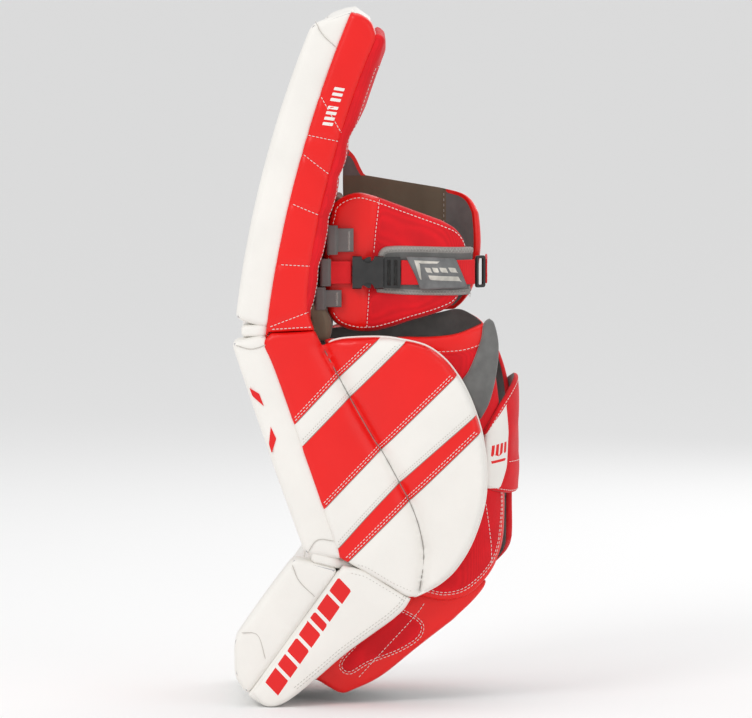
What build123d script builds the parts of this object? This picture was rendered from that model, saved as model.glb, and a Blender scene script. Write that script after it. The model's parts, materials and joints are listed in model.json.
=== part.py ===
from build123d import *
import os
from math import cos, hypot, radians, sin

# An ice-hockey goalie's leg pad for the left leg, upright as worn, in millimetres.
# +Z is up, the striking face looks to -Y and the outer side of the leg to +X.
# The origin is on the leg's axis, level with the break below the knee.
# Every outline is a list of (y, z) points in the side view, unless it says otherwise.

# ---- Driving dimensions -------------------------------------------------------------
OUTER = 112.0  # outer side of the face sections
INNER = -167.0  # inner side: the face is 279 (11 in) wide
ROLL_X = 66.0  # inner side of the roll along the outer edge
FACE = 14.0  # the striking face lies this far behind the front of the roll
SKIN = 2.0  # leather cover with its backing cloth
PLATE = 2.0  # plastic stiffener sheet
PLATE_BEHIND_ROLL = 5.0
ROLL_EDGE = 4.0

LEG_HALF = 76.0  # from the leg's axis to the lining of the calf wrap
REAR_CORNER = 60.0  # radius of the wrap's rear corners
REAR_START = 58.0  # where those corners begin, along Y
WRAP = 7.0  # thickness of the calf wrap
KNEE_HALF = 59.0  # from the leg's axis to the lining of the knee wings
KNEE_WING = 12.0
WING_INNER = 85.0  # calf wings, inner side
WING_VALLEY = 6.0  # the crease lies this deep, and the wings flare out behind it
WING_FLARE = 9.6  # in degrees, how far they flare
CALF_LANDING = 148.0  # outside of the inner calf wing, which lands on the ice
WIDE = 200.0  # wider than the pad, for cutters
GAP = 0.5  # between pieces that move apart

STRAP_Z = 66.5  # middle of the knee strap
STRAP_W = 27.0
STRAP_T = 2.4
STRAP_X = 78.8  # inner face of the strap, where it lies flat

os.makedirs("parts", exist_ok=True)


def keep(block, name):
    """Label a finished block's part and write it to its own file."""
    block.part.label = name
    export_step(block.part, f"parts/{name}.step")


# ---- The three face sections ---------------------------------------------------------
class Section:
    """A length of the pad in side view, in its own depth (from the roll's front, to the
    back) and height (up along the front). The front may bend back with a radius."""

    def __init__(self, corner, lean, roll, back, bottom, top, radius=None):
        self.corner, self.lean, self.radius = corner, radians(lean), radius
        self.roll, self.back = roll, back
        self.bottom, self.top = bottom, top

    def point(self, depth, height):
        y, z = self.corner
        if self.radius is None:
            y += depth * cos(self.lean) - height * sin(self.lean)
            z += depth * sin(self.lean) + height * cos(self.lean)
            return (y, z)
        turned = self.lean - height / self.radius
        centre_y = y + self.radius * cos(self.lean)
        centre_z = z + self.radius * sin(self.lean)
        reach = self.radius - depth
        return (centre_y - reach * cos(turned), centre_z - reach * sin(turned))

    def rail(self, depth, start, end):
        """The edge at one depth, between two heights."""
        if self.radius is None:
            Line(self.point(depth, start), self.point(depth, end))
        else:
            middle = self.point(depth, (start + end) / 2)
            ThreePointArc(self.point(depth, start), middle, self.point(depth, end))

    def plane(self, depth, height):
        """A plane on the section at mid-width, whose normal looks to the back."""
        y, z = self.point(depth, height)
        normal = (0, cos(self.lean), sin(self.lean))
        return Plane(origin=(0, y, z), x_dir=(1, 0, 0), z_dir=normal)


def height_at(line, depth):
    """Height of an end line at a depth, straight between its corners."""
    for (d0, h0), (d1, h1) in zip(line, line[1:]):
        if depth <= d1:
            return h0 + (h1 - h0) * (depth - d0) / (d1 - d0)
    return line[-1][1]


def end_line(line, near, far, shift):
    """An end line between two depths, moved along the section by shift."""
    corners = [p for p in line if near < p[0] < far]
    run = [(near, height_at(line, near)), *corners, (far, height_at(line, far))]
    return [(d, h + shift) for d, h in run]


def band(section, near, far, inset=0.0):
    """Side-view face of a section between two depths, its ends drawn in by inset."""
    low = end_line(section.bottom, near, far, inset)
    high = end_line(section.top, near, far, -inset)
    with BuildLine() as edge:
        Polyline(*[section.point(*p) for p in low])
        section.rail(far, low[-1][1], high[-1][1])
        Polyline(*[section.point(*p) for p in reversed(high)])
        section.rail(near, high[0][1], low[0][1])
    make_face(edge.edges())


def slab(section, inset=0.0, mode=Mode.ADD):
    """The section's body: full width behind the roll, and up to the roll in front."""
    for near, x_low, x_high in (
        (FACE, INNER + inset, ROLL_X - inset),
        (section.roll, ROLL_X - inset - 1, OUTER - inset),
    ):
        with BuildSketch(Plane.YZ.offset(x_low)) as side_view:
            band(section, near + inset, section.back - inset, inset)
        extrude(side_view.sketch, amount=x_high - x_low, mode=mode)


def layer(section, near, far, x_low, x_high):
    """A layer of the core, between two depths."""
    with BuildSketch(Plane.YZ.offset(x_low)) as side_view:
        band(section, near, far, SKIN)
    extrude(side_view.sketch, amount=x_high - x_low)


thigh = Section(
    corner=(-180, 13),
    lean=-7.5,
    roll=36,
    back=72,
    bottom=[(0, 5), (36, 0), (80, 22)],
    top=[(0, 336), (36, 368), (60, 362), (80, 330)],
    radius=1389,
)
shin = Section(
    corner=(-185, -5),
    lean=19.1,
    roll=37,
    back=86,
    bottom=[(0, -248), (37, -267), (86, -321)],
    top=[(0, -3), (37, -7), (86, -23)],
)
boot = Section(
    corner=(-118, -246),
    lean=-35.9,
    roll=46.5,
    back=78,
    bottom=[(0, -108), (24, -139), (46.5, -149), (70, -148), (90, -126)],
    top=[(0, 2), (46.5, 21), (130, 23)],
)

for name, section in (("thigh", thigh), ("shin", shin), ("boot", boot)):
    plate = section.roll + PLATE_BEHIND_ROLL
    with BuildPart() as cover:
        slab(section)
        slab(section, SKIN, Mode.SUBTRACT)
    keep(cover, f"{name}_cover")
    with BuildPart() as front_foam:
        layer(section, FACE + SKIN, plate, INNER + SKIN, ROLL_X - SKIN)
    keep(front_foam, f"{name}_front_foam")
    with BuildPart() as stiffener:
        layer(section, plate, plate + PLATE, INNER + SKIN, OUTER - SKIN)
    keep(stiffener, f"{name}_stiffener")
    with BuildPart() as back_foam:
        layer(section, plate + PLATE, section.back - SKIN, INNER + SKIN, OUTER - SKIN)
    keep(back_foam, f"{name}_back_foam")
    with BuildPart() as roll_cover:
        with BuildSketch(Plane.YZ.offset(ROLL_X)):
            band(section, 0, section.roll)
        extrude(amount=OUTER - ROLL_X)
        fillet(roll_cover.edges().filter_by(Axis.X).sort_by(Axis.Y)[:2], ROLL_EDGE)
        with BuildSketch(Plane.YZ.offset(ROLL_X + SKIN)):
            band(section, SKIN, section.roll - SKIN, SKIN)
        extrude(amount=OUTER - ROLL_X - 2 * SKIN, mode=Mode.SUBTRACT)
    keep(roll_cover, f"{name}_roll_cover")
    with BuildPart() as roll_foam:
        with BuildSketch(Plane.YZ.offset(ROLL_X + SKIN)):
            band(section, SKIN, section.roll - SKIN, SKIN)
        extrude(amount=OUTER - ROLL_X - 2 * SKIN)
    keep(roll_foam, f"{name}_roll_foam")

# The thigh's back is a quilted cloth panel over the leather cover, full width.
with BuildPart() as thigh_back_panel:
    with BuildSketch(Plane.YZ.offset(INNER)):
        band(thigh, thigh.back, thigh.back + 8)
    extrude(amount=OUTER - INNER)
keep(thigh_back_panel, "thigh_back_panel")


# ---- Linings against the leg ---------------------------------------------------------
def lining(section, near, far, low, high, half_width):
    """A pad on a section's back, between two heights."""
    with BuildSketch(Plane.YZ.offset(-half_width)) as side_view:
        with BuildLine():
            section.rail(near, low, high)
            Line(section.point(near, high), section.point(far, high - 4))
            section.rail(far, high - 4, low + 4)
            Line(section.point(far, low + 4), section.point(near, low))
        make_face()
    extrude(side_view.sketch, amount=2 * half_width)


with BuildPart() as knee_cradle:
    lining(thigh, thigh.back + 8, thigh.back + 20, 26, 188, KNEE_HALF - 1)
keep(knee_cradle, "knee_cradle")
with BuildPart() as calf_lining:
    lining(shin, shin.back, shin.back + 9, -286, -26, LEG_HALF - 1)
keep(calf_lining, "calf_lining")
with BuildPart() as boot_liner:
    lining(boot, boot.back, boot.back + 8, -124, 8, LEG_HALF - 0.5)
keep(boot_liner, "boot_liner")


# ---- Panels that stand back from the sections ----------------------------------------
def outline(start, *legs):
    """A closed face: a leg that is a point is straight, a pair of points is an arc
    through the first to the second."""
    here = start
    with BuildLine() as edge:
        for leg in legs:
            if isinstance(leg[0], tuple):
                ThreePointArc(here, *leg)
                here = leg[1]
            else:
                Line(here, leg)
                here = leg
        Line(here, start)
    make_face(edge.edges())


def round_leg(near, far, start, turn, side=1, past=0.0, half=LEG_HALF,
              corner=REAR_CORNER, corner_start=REAR_START, turn_start=None):
    """Plan of a wrap round the leg, between two distances from its lining. It runs back
    from start, turns in round the rear corner, and goes past the corner by past."""
    def on_corner(distance, angle):
        reach = corner + distance
        x = half - corner + reach * cos(radians(angle))
        return (side * x, corner_start + reach * sin(radians(angle)))

    first = turn_start or 0.0
    middle = (first + turn) / 2
    with BuildLine() as edge:
        for distance in (near, far):
            here = on_corner(distance, first)
            if start is not None:
                Line((side * (half + distance), start), here)
            ThreePointArc(here, on_corner(distance, middle), on_corner(distance, turn))
            if past:
                x, y = on_corner(distance, turn)
                Line((x, y), (x - side * past, y))
        ends = []
        for distance in (near, far):
            x, y = on_corner(distance, turn)
            ends.append((x - side * past, y))
        Line(*ends)
        if start is None:
            Line(on_corner(near, first), on_corner(far, first))
        else:
            Line((side * (half + near), start), (side * (half + far), start))
    make_face(edge.edges())


def cut_to(side_view, x_low=-WIDE, x_high=WIDE):
    """Keep what a side-view outline covers."""
    with BuildSketch(Plane.YZ.offset(x_low)) as side:
        outline(*side_view)
    extrude(side.sketch, amount=x_high - x_low, mode=Mode.INTERSECT)


# The calf wings bend out along a straight crease, from the top of the slab's back down
# to the lower edge of the wing.
CREASE_TOP = (-85.0, -12.0)
CREASE_FOOT = (57.0, -265.0)
crease_length = hypot(CREASE_FOOT[0] - CREASE_TOP[0], CREASE_FOOT[1] - CREASE_TOP[1])
CREASE_DIR = (
    (CREASE_FOOT[0] - CREASE_TOP[0]) / crease_length,
    (CREASE_FOOT[1] - CREASE_TOP[1]) / crease_length,
)


def beside_crease(point, distance):
    """A point moved square off the crease, to the back if distance is positive."""
    return (point[0] - CREASE_DIR[1] * distance, point[1] + CREASE_DIR[0] * distance)


slab_top = shin.point(shin.back, -27)
slab_foot = shin.point(shin.back, -300)
gusset_side = (
    slab_top,
    beside_crease(CREASE_TOP, -GAP),
    beside_crease(CREASE_FOOT, -GAP),
    (40, -274),
    (12, -281),
    slab_foot,
)
wing_side = (
    beside_crease(CREASE_TOP, GAP),
    ((-52, -2.5), (-10, -3.5)),
    ((62, -42), (92, -125)),
    ((92, -195), beside_crease(CREASE_FOOT, GAP)),
)

CALF_SIDES = {"outer": (1, OUTER), "inner": (-1, CALF_LANDING)}
FLARE_SPACE = 40.0
for name, (side, outside) in CALF_SIDES.items():
    with BuildPart() as gusset:
        with BuildSketch(Plane.YZ.offset(side * WING_INNER)):
            outline(*gusset_side)
        extrude(amount=side * (outside - WING_INNER))
    keep(gusset, f"{name}_calf_gusset")
    flare = radians(WING_FLARE)
    normal = (
        side * cos(flare),
        CREASE_DIR[1] * sin(flare),
        -CREASE_DIR[0] * sin(flare),
    )
    with BuildPart() as wing:
        with BuildSketch(Plane.YZ.offset(side * WING_INNER)):
            outline(*wing_side)
        extrude(amount=side * (outside - WING_INNER + FLARE_SPACE))
        face_at = Plane(origin=(side * (outside - WING_VALLEY), *CREASE_TOP), z_dir=normal)
        split(bisect_by=face_at, keep=Keep.BOTTOM)
    keep(wing, f"{name}_calf_wing")

# The calf wrap: a half on each side, open at the rear and closed by a strap panel.
CALF_TOP, CALF_LOW = 30.0, -300.0
outer_wrap_side = (
    shin.point(shin.back + 9.5, -32),
    ((20, -5), (92, 10)),
    (106, -6),
    ((117, -90), (117, -205)),
    ((100, -262), (72, -287)),
    (14, -284),
    (6, -262),
)
inner_wrap_side = (
    shin.point(shin.back + 9.5, -32),
    (0, 2),
    (64, 16),
    (92, 8),
    ((122, -60), (130, -150)),
    (130, -222),
    (122, -246),
    (84, -284),
    (14, -284),
    (6, -262),
)
for name, side, past, side_view in (
    ("outer_calf_wrap", 1, 0.0, outer_wrap_side),
    ("inner_calf_wrap", -1, 8.0, inner_wrap_side),
):
    with BuildPart() as wrap:
        with BuildSketch(Plane.XY.offset(CALF_LOW)):
            round_leg(0, WRAP, -100, 66 if past == 0 else 90, side, past)
        extrude(amount=CALF_TOP - CALF_LOW)
        cut_to(side_view)
    keep(wrap, name)

with BuildPart() as calf_strap_panel:
    with BuildSketch(Plane.XY.offset(-180)):
        round_leg(WRAP + GAP, WRAP + 4, None, 90, 1, 17, turn_start=29)
        round_leg(WRAP + GAP, WRAP + 4, None, 90, -1, 17, turn_start=52)
    extrude(amount=140)
    cut_to(((80, -112), (92, -102), (116, -72), (136, -42), (136, -178), (80, -178)))
keep(calf_strap_panel, "calf_strap_panel")

TAB_TOP = (97.0, 16.0)
with BuildPart() as wrap_pull_tab:
    with BuildSketch(Plane.XY.offset(-110)):
        round_leg(WRAP + GAP, WRAP + 3, None, 62, turn_start=10)
    extrude(amount=140)
    cut_to(((68, -53), (78, -38), (88, -6), ((94, 14), TAB_TOP), ((105, 8), (107, -14)),
            ((104, -52), (88, -96))))
keep(wrap_pull_tab, "wrap_pull_tab")

# ---- Boot: side walls and lower wraps -------------------------------------------------
boot_wall_side = (
    boot.point(boot.back, 20),
    boot.point(128, 20),
    (boot.point(119, -18), boot.point(101, -80)),
    (boot.point(96, -112), boot.point(86, -134)),
    boot.point(boot.back, -140),
)
for name, x_low, x_high in (
    ("boot_outer_wall", LEG_HALF, OUTER),
    ("boot_inner_wall", -CALF_LANDING, -LEG_HALF),
):
    with BuildPart() as wall:
        with BuildSketch(Plane.YZ.offset(x_low)):
            outline(*boot_wall_side)
        extrude(amount=x_high - x_low)
    keep(wall, name)

# The boot wraps tuck up inside the calf wraps, so the boot can bend at its joint.
TUCK = 1.5
boot_wrap_side = (
    boot.point(boot.back + 8.5, 14),
    (-10, -297),
    (12, -292),
    (24, -284),
    (74, -280),
    (70, -308),
    ((18, -347), (-50, -392)),
    (-66, -397),
    (-82, -386),
    boot.point(boot.back + 8.5, -118),
)
for name, side in (("boot_outer_wrap", 1), ("boot_inner_wrap", -1)):
    with BuildPart() as wrap:
        with BuildSketch(Plane.XY.offset(-400)):
            round_leg(-WRAP - TUCK, -TUCK, -150, 40, side)
        extrude(amount=125)
        cut_to(boot_wrap_side)
    keep(wrap, name)

# A tab behind the toe takes the lace or elastic that ties the pad to the skate.
EYELET_R, EYELET_RIM, TAB_T = 4.0, 6.5, 4.0
TAB_Z, TAB_W, EYELET_Y = -388.0, 44.0, -96.0
tab_side = (
    boot.point(boot.back + 8, -100),
    (-60, TAB_Z + TAB_T + 20),
    (-60, TAB_Z - 20),
    boot.point(boot.back + 8, -130),
)
with BuildPart() as toe_tab:
    with BuildSketch(Plane.XY.offset(TAB_Z)):
        with Locations((0, EYELET_Y - 20)):
            Rectangle(TAB_W, 40)
        with Locations((0, EYELET_Y)):
            Ellipse(TAB_W / 2, 14)
            Circle(EYELET_RIM, mode=Mode.SUBTRACT)
    extrude(amount=TAB_T)
    cut_to(tab_side)
keep(toe_tab, "toe_tab")
with BuildPart() as toe_eyelet:
    with BuildSketch(Plane.XY.offset(TAB_Z)):
        with Locations((0, EYELET_Y)):
            Circle(EYELET_RIM)
            Circle(EYELET_R, mode=Mode.SUBTRACT)
    extrude(amount=TAB_T)
keep(toe_eyelet, "toe_eyelet")

# ---- Knee: wings, landing block ------------------------------------------------------
KNEE_CORNER, KNEE_CORNER_START = 30.0, 45.0
FAR_KNEE_CORNER, FAR_KNEE_CORNER_START = 50.0, 42.0
outer_knee_side = (
    (-77, 122),
    ((-64, 147), (-42, 153)),
    ((0, 141), (60, 117)),
    ((74, 106), (75, 90)),
    (73, 45),
    ((66, 33), (46, 23)),
    ((0, 9), (-45, 1)),
    ((-76, 10), (-83, 42)),
)
with BuildPart() as outer_knee_wing:
    with BuildSketch(Plane.XY.offset(-10)):
        round_leg(0, KNEE_WING, -90, 50, half=KNEE_HALF, corner=KNEE_CORNER,
                  corner_start=KNEE_CORNER_START)
    extrude(amount=180)
    cut_to(outer_knee_side)
keep(outer_knee_wing, "outer_knee_wing")

inner_knee_side = (
    thigh.point(94, 160),
    (-36, 167),
    (56, 152),
    ((86, 140), (96, 106)),
    ((92, 50), (64, 18)),
    (-20, 14),
    thigh.point(94, 24),
)
with BuildPart() as inner_knee_wing:
    with BuildSketch(Plane.XY):
        round_leg(0, KNEE_WING, -90, 58, side=-1, half=KNEE_HALF,
                  corner=FAR_KNEE_CORNER, corner_start=FAR_KNEE_CORNER_START)
    extrude(amount=180)
    cut_to(inner_knee_side)
keep(inner_knee_wing, "inner_knee_wing")

BLOCK_X, BLOCK_W, BLOCK_LENGTH, BLOCK_H = -71.5, 68.0, 88.0, 84.0
block_centre = (BLOCK_X - BLOCK_W / 2, -16, 78)
with BuildPart() as knee_block_cover:
    with Locations(block_centre):
        Box(BLOCK_W, BLOCK_LENGTH, BLOCK_H)
    fillet(knee_block_cover.edges().filter_by(Axis.X), 14)
    with Locations(block_centre):
        Box(BLOCK_W - 2 * SKIN, BLOCK_LENGTH - 10, BLOCK_H - 10, mode=Mode.SUBTRACT)
keep(knee_block_cover, "knee_block_cover")
LAYERS = 3
layer_w = (BLOCK_W - 2 * SKIN) / LAYERS
with BuildPart() as knee_block_foam:
    for i in range(LAYERS):
        x = block_centre[0] - BLOCK_W / 2 + SKIN + layer_w * (i + 0.5)
        with Locations((x, block_centre[1], block_centre[2])):
            Box(layer_w - 0.4, BLOCK_LENGTH - 10, BLOCK_H - 10)
keep(knee_block_foam, "knee_block_foam")

# ---- Knee strap ----------------------------------------------------------------------
BACKING_T = 3.5
with BuildPart() as strap_backing:
    with BuildSketch(Plane.XY.offset(40)):
        round_leg(KNEE_WING, KNEE_WING + BACKING_T, -28, 48, half=KNEE_HALF,
                  corner=KNEE_CORNER, corner_start=KNEE_CORNER_START)
    extrude(amount=56)
    cut_to(((-26, 48), (-16, 41), (68, 41), (78, 48), (78, 92), (-12, 95), (-26, 84)))
keep(strap_backing, "strap_backing")

# Belt loops of webbing on the thigh's back edge, a spare anchor under the top and bottom
# ones and the buckle's short strap under the middle one.
LOOP_X, LOOP_RISE, WEB_T, LOOP_LENGTH = 76.0, 8.0, 1.6, 12.0
loops = {"upper": (102.0, 32.0), "middle": (STRAP_Z, 30.0), "lower": (38.0, 25.0)}


def thigh_back_y(z):
    """Where the thigh panel's back is, at a height."""
    depth = thigh.back + 8
    low, high = thigh.point(depth, 0), thigh.point(depth, 200)
    return low[0] + (high[0] - low[0]) * (z - low[1]) / (high[1] - low[1])


for name, (z, width) in loops.items():
    y = thigh_back_y(z)
    with BuildPart() as strap_loop:
        with BuildSketch(Plane.XZ.offset(-y - 0.2)):
            with Locations((LOOP_X + LOOP_RISE / 2, z)):
                RectangleRounded(LOOP_RISE, width, 3)
                RectangleRounded(LOOP_RISE - 2 * WEB_T, width - 2 * WEB_T, 1.5,
                                 mode=Mode.SUBTRACT)
        extrude(amount=-LOOP_LENGTH)
    keep(strap_loop, f"strap_loop_{name}")
for name in ("upper", "lower"):
    z, width = loops[name]
    y = thigh_back_y(z)
    with BuildPart() as anchor_tab:
        with Locations((LOOP_X + LOOP_RISE / 2, y + 15, z)):
            Box(2, 29, width - 2 * WEB_T - 3)
    keep(anchor_tab, f"anchor_tab_{name}")

SOCKET = (-52.0, -18.0)  # the socket's ends along Y
BUCKLE_H, BUCKLE_T, BUCKLE_X = 36.0, 10.0, 75.0
buckle_middle = (BUCKLE_X + BUCKLE_T / 2, 0, STRAP_Z)
socket_y = (SOCKET[0] + SOCKET[1]) / 2
socket_length = SOCKET[1] - SOCKET[0]
with BuildPart() as buckle_strap:
    with BuildSketch(Plane.XY.offset(STRAP_Z - STRAP_W / 2 + 1)):
        with Locations((STRAP_X + STRAP_T / 2, -65.5)):
            Rectangle(STRAP_T, 25)
    extrude(amount=STRAP_W - 2)
keep(buckle_strap, "buckle_strap")

POCKET_H, POCKET_T = 29.0, 6.4
WINDOW_LENGTH, WINDOW_Y = 11.0, -36.0
with BuildPart() as buckle_socket:
    with Locations((buckle_middle[0], socket_y, STRAP_Z)):
        Box(BUCKLE_T, socket_length, BUCKLE_H)
    side_edges = buckle_socket.edges().filter_by(Axis.Y)
    fillet(side_edges, 2.5)
    with Locations((buckle_middle[0], socket_y + 3, STRAP_Z)):
        Box(POCKET_T, socket_length, POCKET_H, mode=Mode.SUBTRACT)
    with Locations((buckle_middle[0], WINDOW_Y, STRAP_Z)):
        Box(POCKET_T, WINDOW_LENGTH, BUCKLE_H + 2, mode=Mode.SUBTRACT)
    for side in (1, -1):
        with Locations((buckle_middle[0], WINDOW_Y + 1, STRAP_Z + side * BUCKLE_H / 2)):
            Cylinder(7, BUCKLE_T + 2, rotation=(0, 90, 0), mode=Mode.SUBTRACT)
keep(buckle_socket, "buckle_socket")

PLUG_END = 0.5
BAR = 3.2
SLOT_H = STRAP_W + 1.2
plug_length = PLUG_END - SOCKET[1] - GAP
plug_y = (PLUG_END + SOCKET[1] + GAP) / 2
with BuildPart() as buckle_plug:
    with Locations((buckle_middle[0], plug_y, STRAP_Z)):
        Box(5.2, plug_length, BUCKLE_H - 2)
        Box(9, plug_length - 2 * BAR, SLOT_H, mode=Mode.SUBTRACT)
        Box(5.2, BAR, SLOT_H)
    with Locations((buckle_middle[0], SOCKET[1] - 8, STRAP_Z)):
        Box(3, 18, 5)
keep(buckle_plug, "buckle_plug")

ARM_ROOT = SOCKET[1] + GAP
with BuildPart() as buckle_latch_arms:
    for side in (1, -1):
        with BuildSketch(Plane.YZ.offset(buckle_middle[0] - 2.2)):
            outer = STRAP_Z + side * 12.6
            inner = STRAP_Z + side * 9.8
            barb = STRAP_Z + side * 17.0
            with BuildLine():
                Polyline(
                    (ARM_ROOT, inner), (ARM_ROOT, outer), (-31.5, outer), (-31.8, barb),
                    (-35, barb), (-44, outer - side), (-44, inner), close=True,
                )
            make_face()
        extrude(amount=4.4)
keep(buckle_latch_arms, "buckle_latch_arms")

# The strap's main run: from the plug's middle bar, over the backing, round the rear of
# the knee to the ring.
STRAP_OFF = STRAP_X - KNEE_HALF
STRAP_REAR_TURN = 42.0
tangent = radians(STRAP_REAR_TURN)


def strap_corner(distance):
    """End of the strap's bend, at a distance from the knee lining."""
    reach = KNEE_CORNER + distance
    x = KNEE_HALF - KNEE_CORNER + reach * cos(tangent)
    return (x, KNEE_CORNER_START + reach * sin(tangent))


STRAP_TAIL = 3.0
with BuildPart() as knee_strap:
    with BuildSketch(Plane.XY.offset(STRAP_Z - STRAP_W / 2)):
        round_leg(STRAP_OFF, STRAP_OFF + STRAP_T, PLUG_END + GAP, STRAP_REAR_TURN,
                  half=KNEE_HALF, corner=KNEE_CORNER, corner_start=KNEE_CORNER_START)
        bend_end = Plane(
            origin=(*strap_corner(STRAP_OFF + STRAP_T / 2), STRAP_Z - STRAP_W / 2),
            x_dir=(-sin(tangent), cos(tangent), 0),
            z_dir=(0, 0, 1),
        )
    extrude(amount=STRAP_W)
    with BuildSketch(bend_end):
        with Locations((STRAP_TAIL / 2 - 0.5, 0)):
            Rectangle(STRAP_TAIL + 1, STRAP_T)
    extrude(amount=STRAP_W)
keep(knee_strap, "knee_strap")

SLEEVE_GAP, SLEEVE_T = 0.2, 1.5
with BuildPart() as strap_sleeve:
    with BuildSketch(Plane.XY.offset(STRAP_Z - 22)):
        round_leg(STRAP_OFF - 2.4, STRAP_OFF + STRAP_T + SLEEVE_GAP + SLEEVE_T, 2, 38,
                  half=KNEE_HALF, corner=KNEE_CORNER, corner_start=KNEE_CORNER_START)
    extrude(amount=44)
    cut_to(((5, 84), (59, 82), (71, 49), (22, 47)))
    with BuildSketch(Plane.XY.offset(STRAP_Z - STRAP_W / 2 - SLEEVE_GAP)):
        round_leg(STRAP_OFF - SLEEVE_GAP, STRAP_OFF + STRAP_T + SLEEVE_GAP, -2, 46,
                  half=KNEE_HALF, corner=KNEE_CORNER, corner_start=KNEE_CORNER_START)
    extrude(amount=STRAP_W + 2 * SLEEVE_GAP, mode=Mode.SUBTRACT)
keep(strap_sleeve, "strap_sleeve")

# A ring joins the strap to a tab on the inner wing's rear edge.
RING_H, RING_W, WIRE = 35.0, 13.0, 3.0
ring_out = STRAP_TAIL + 2.5 + RING_W / 2
ring_plane = Plane(
    origin=bend_end.from_local_coords((ring_out, 0, STRAP_W / 2)),
    x_dir=bend_end.x_dir,
    z_dir=bend_end.from_local_coords((0, -1, 0)) - bend_end.origin,
)
with BuildPart() as strap_ring:
    with BuildSketch(ring_plane):
        RectangleRounded(RING_W, RING_H, 3)
        RectangleRounded(RING_W - 2 * WIRE, RING_H - 2 * WIRE, 1.2, mode=Mode.SUBTRACT)
    extrude(amount=WIRE / 2, both=True)
keep(strap_ring, "strap_ring")
ring_pivot = ring_plane.from_local_coords((WIRE / 2 - RING_W / 2, 0, 0))

with BuildPart() as ring_tab:
    start = ring_plane.from_local_coords((RING_W / 2 + 2.4, 0, 0))
    end_x, end_y = -46.0, 96.2
    run = hypot(end_x - start.X, end_y - start.Y)
    along = Plane(
        origin=((start.X + end_x) / 2, (start.Y + end_y) / 2, STRAP_Z - STRAP_W / 2),
        x_dir=(end_x - start.X, end_y - start.Y, 0),
        z_dir=(0, 0, 1),
    )
    with BuildSketch(along):
        Rectangle(run, STRAP_T)
    extrude(amount=STRAP_W)
keep(ring_tab, "ring_tab")
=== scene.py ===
"""A hockey goalie's left leg pad: its covers, wraps, straps and stitching, built round the
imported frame. Lengths are millimetres until a mesh is made. Side views are (y, z)."""
import json
from math import asin, atan2, cos, hypot, pi, radians, sin

import bmesh
import bpy
import numpy as np
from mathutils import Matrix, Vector, noise
from mathutils.bvhtree import BVHTree
from mathutils.geometry import delaunay_2d_cdt


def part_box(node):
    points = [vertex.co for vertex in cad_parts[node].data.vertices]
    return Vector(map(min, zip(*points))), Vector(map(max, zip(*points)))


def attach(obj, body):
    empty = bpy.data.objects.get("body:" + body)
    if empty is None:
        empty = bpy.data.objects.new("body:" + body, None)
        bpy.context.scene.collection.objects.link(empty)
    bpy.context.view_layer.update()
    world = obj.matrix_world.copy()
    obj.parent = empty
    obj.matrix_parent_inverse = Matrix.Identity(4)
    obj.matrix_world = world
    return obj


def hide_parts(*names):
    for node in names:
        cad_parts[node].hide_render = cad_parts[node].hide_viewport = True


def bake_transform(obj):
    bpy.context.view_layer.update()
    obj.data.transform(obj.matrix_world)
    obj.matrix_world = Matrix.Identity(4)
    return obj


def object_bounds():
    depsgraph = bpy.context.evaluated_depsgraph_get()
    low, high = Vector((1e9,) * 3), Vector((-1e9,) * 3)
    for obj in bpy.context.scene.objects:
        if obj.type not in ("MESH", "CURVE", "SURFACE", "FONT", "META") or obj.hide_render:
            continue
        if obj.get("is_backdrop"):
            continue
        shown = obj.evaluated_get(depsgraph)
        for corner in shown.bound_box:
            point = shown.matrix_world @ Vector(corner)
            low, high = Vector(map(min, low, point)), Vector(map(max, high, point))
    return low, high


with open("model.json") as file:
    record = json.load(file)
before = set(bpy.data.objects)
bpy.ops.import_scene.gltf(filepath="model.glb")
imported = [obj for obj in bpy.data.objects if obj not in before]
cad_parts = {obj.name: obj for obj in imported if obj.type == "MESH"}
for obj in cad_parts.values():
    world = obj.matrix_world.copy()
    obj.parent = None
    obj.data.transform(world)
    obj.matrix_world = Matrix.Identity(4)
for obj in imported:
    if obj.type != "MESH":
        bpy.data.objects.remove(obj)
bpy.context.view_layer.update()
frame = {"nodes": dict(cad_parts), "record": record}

MM = 0.001


def node_box(node):
    """A node's lowest and highest corners, in millimetres."""
    low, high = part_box(node)
    return np.array(low) / MM, np.array(high) / MM


# ---- The frame's sizes ---------------------------------------------------------------
INNER = node_box("shin_cover")[0][0]
OUTER = node_box("shin_cover")[1][0]
ROLL_X = node_box("shin_roll_cover")[0][0]
FACE = 14.0
LEG_HALF, REAR_CORNER, REAR_START, WRAP = 76.0, 60.0, 58.0, 7.0
KNEE_HALF, KNEE_WING, KNEE_CORNER, KNEE_START = 59.0, 12.0, 30.0, 45.0


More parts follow.
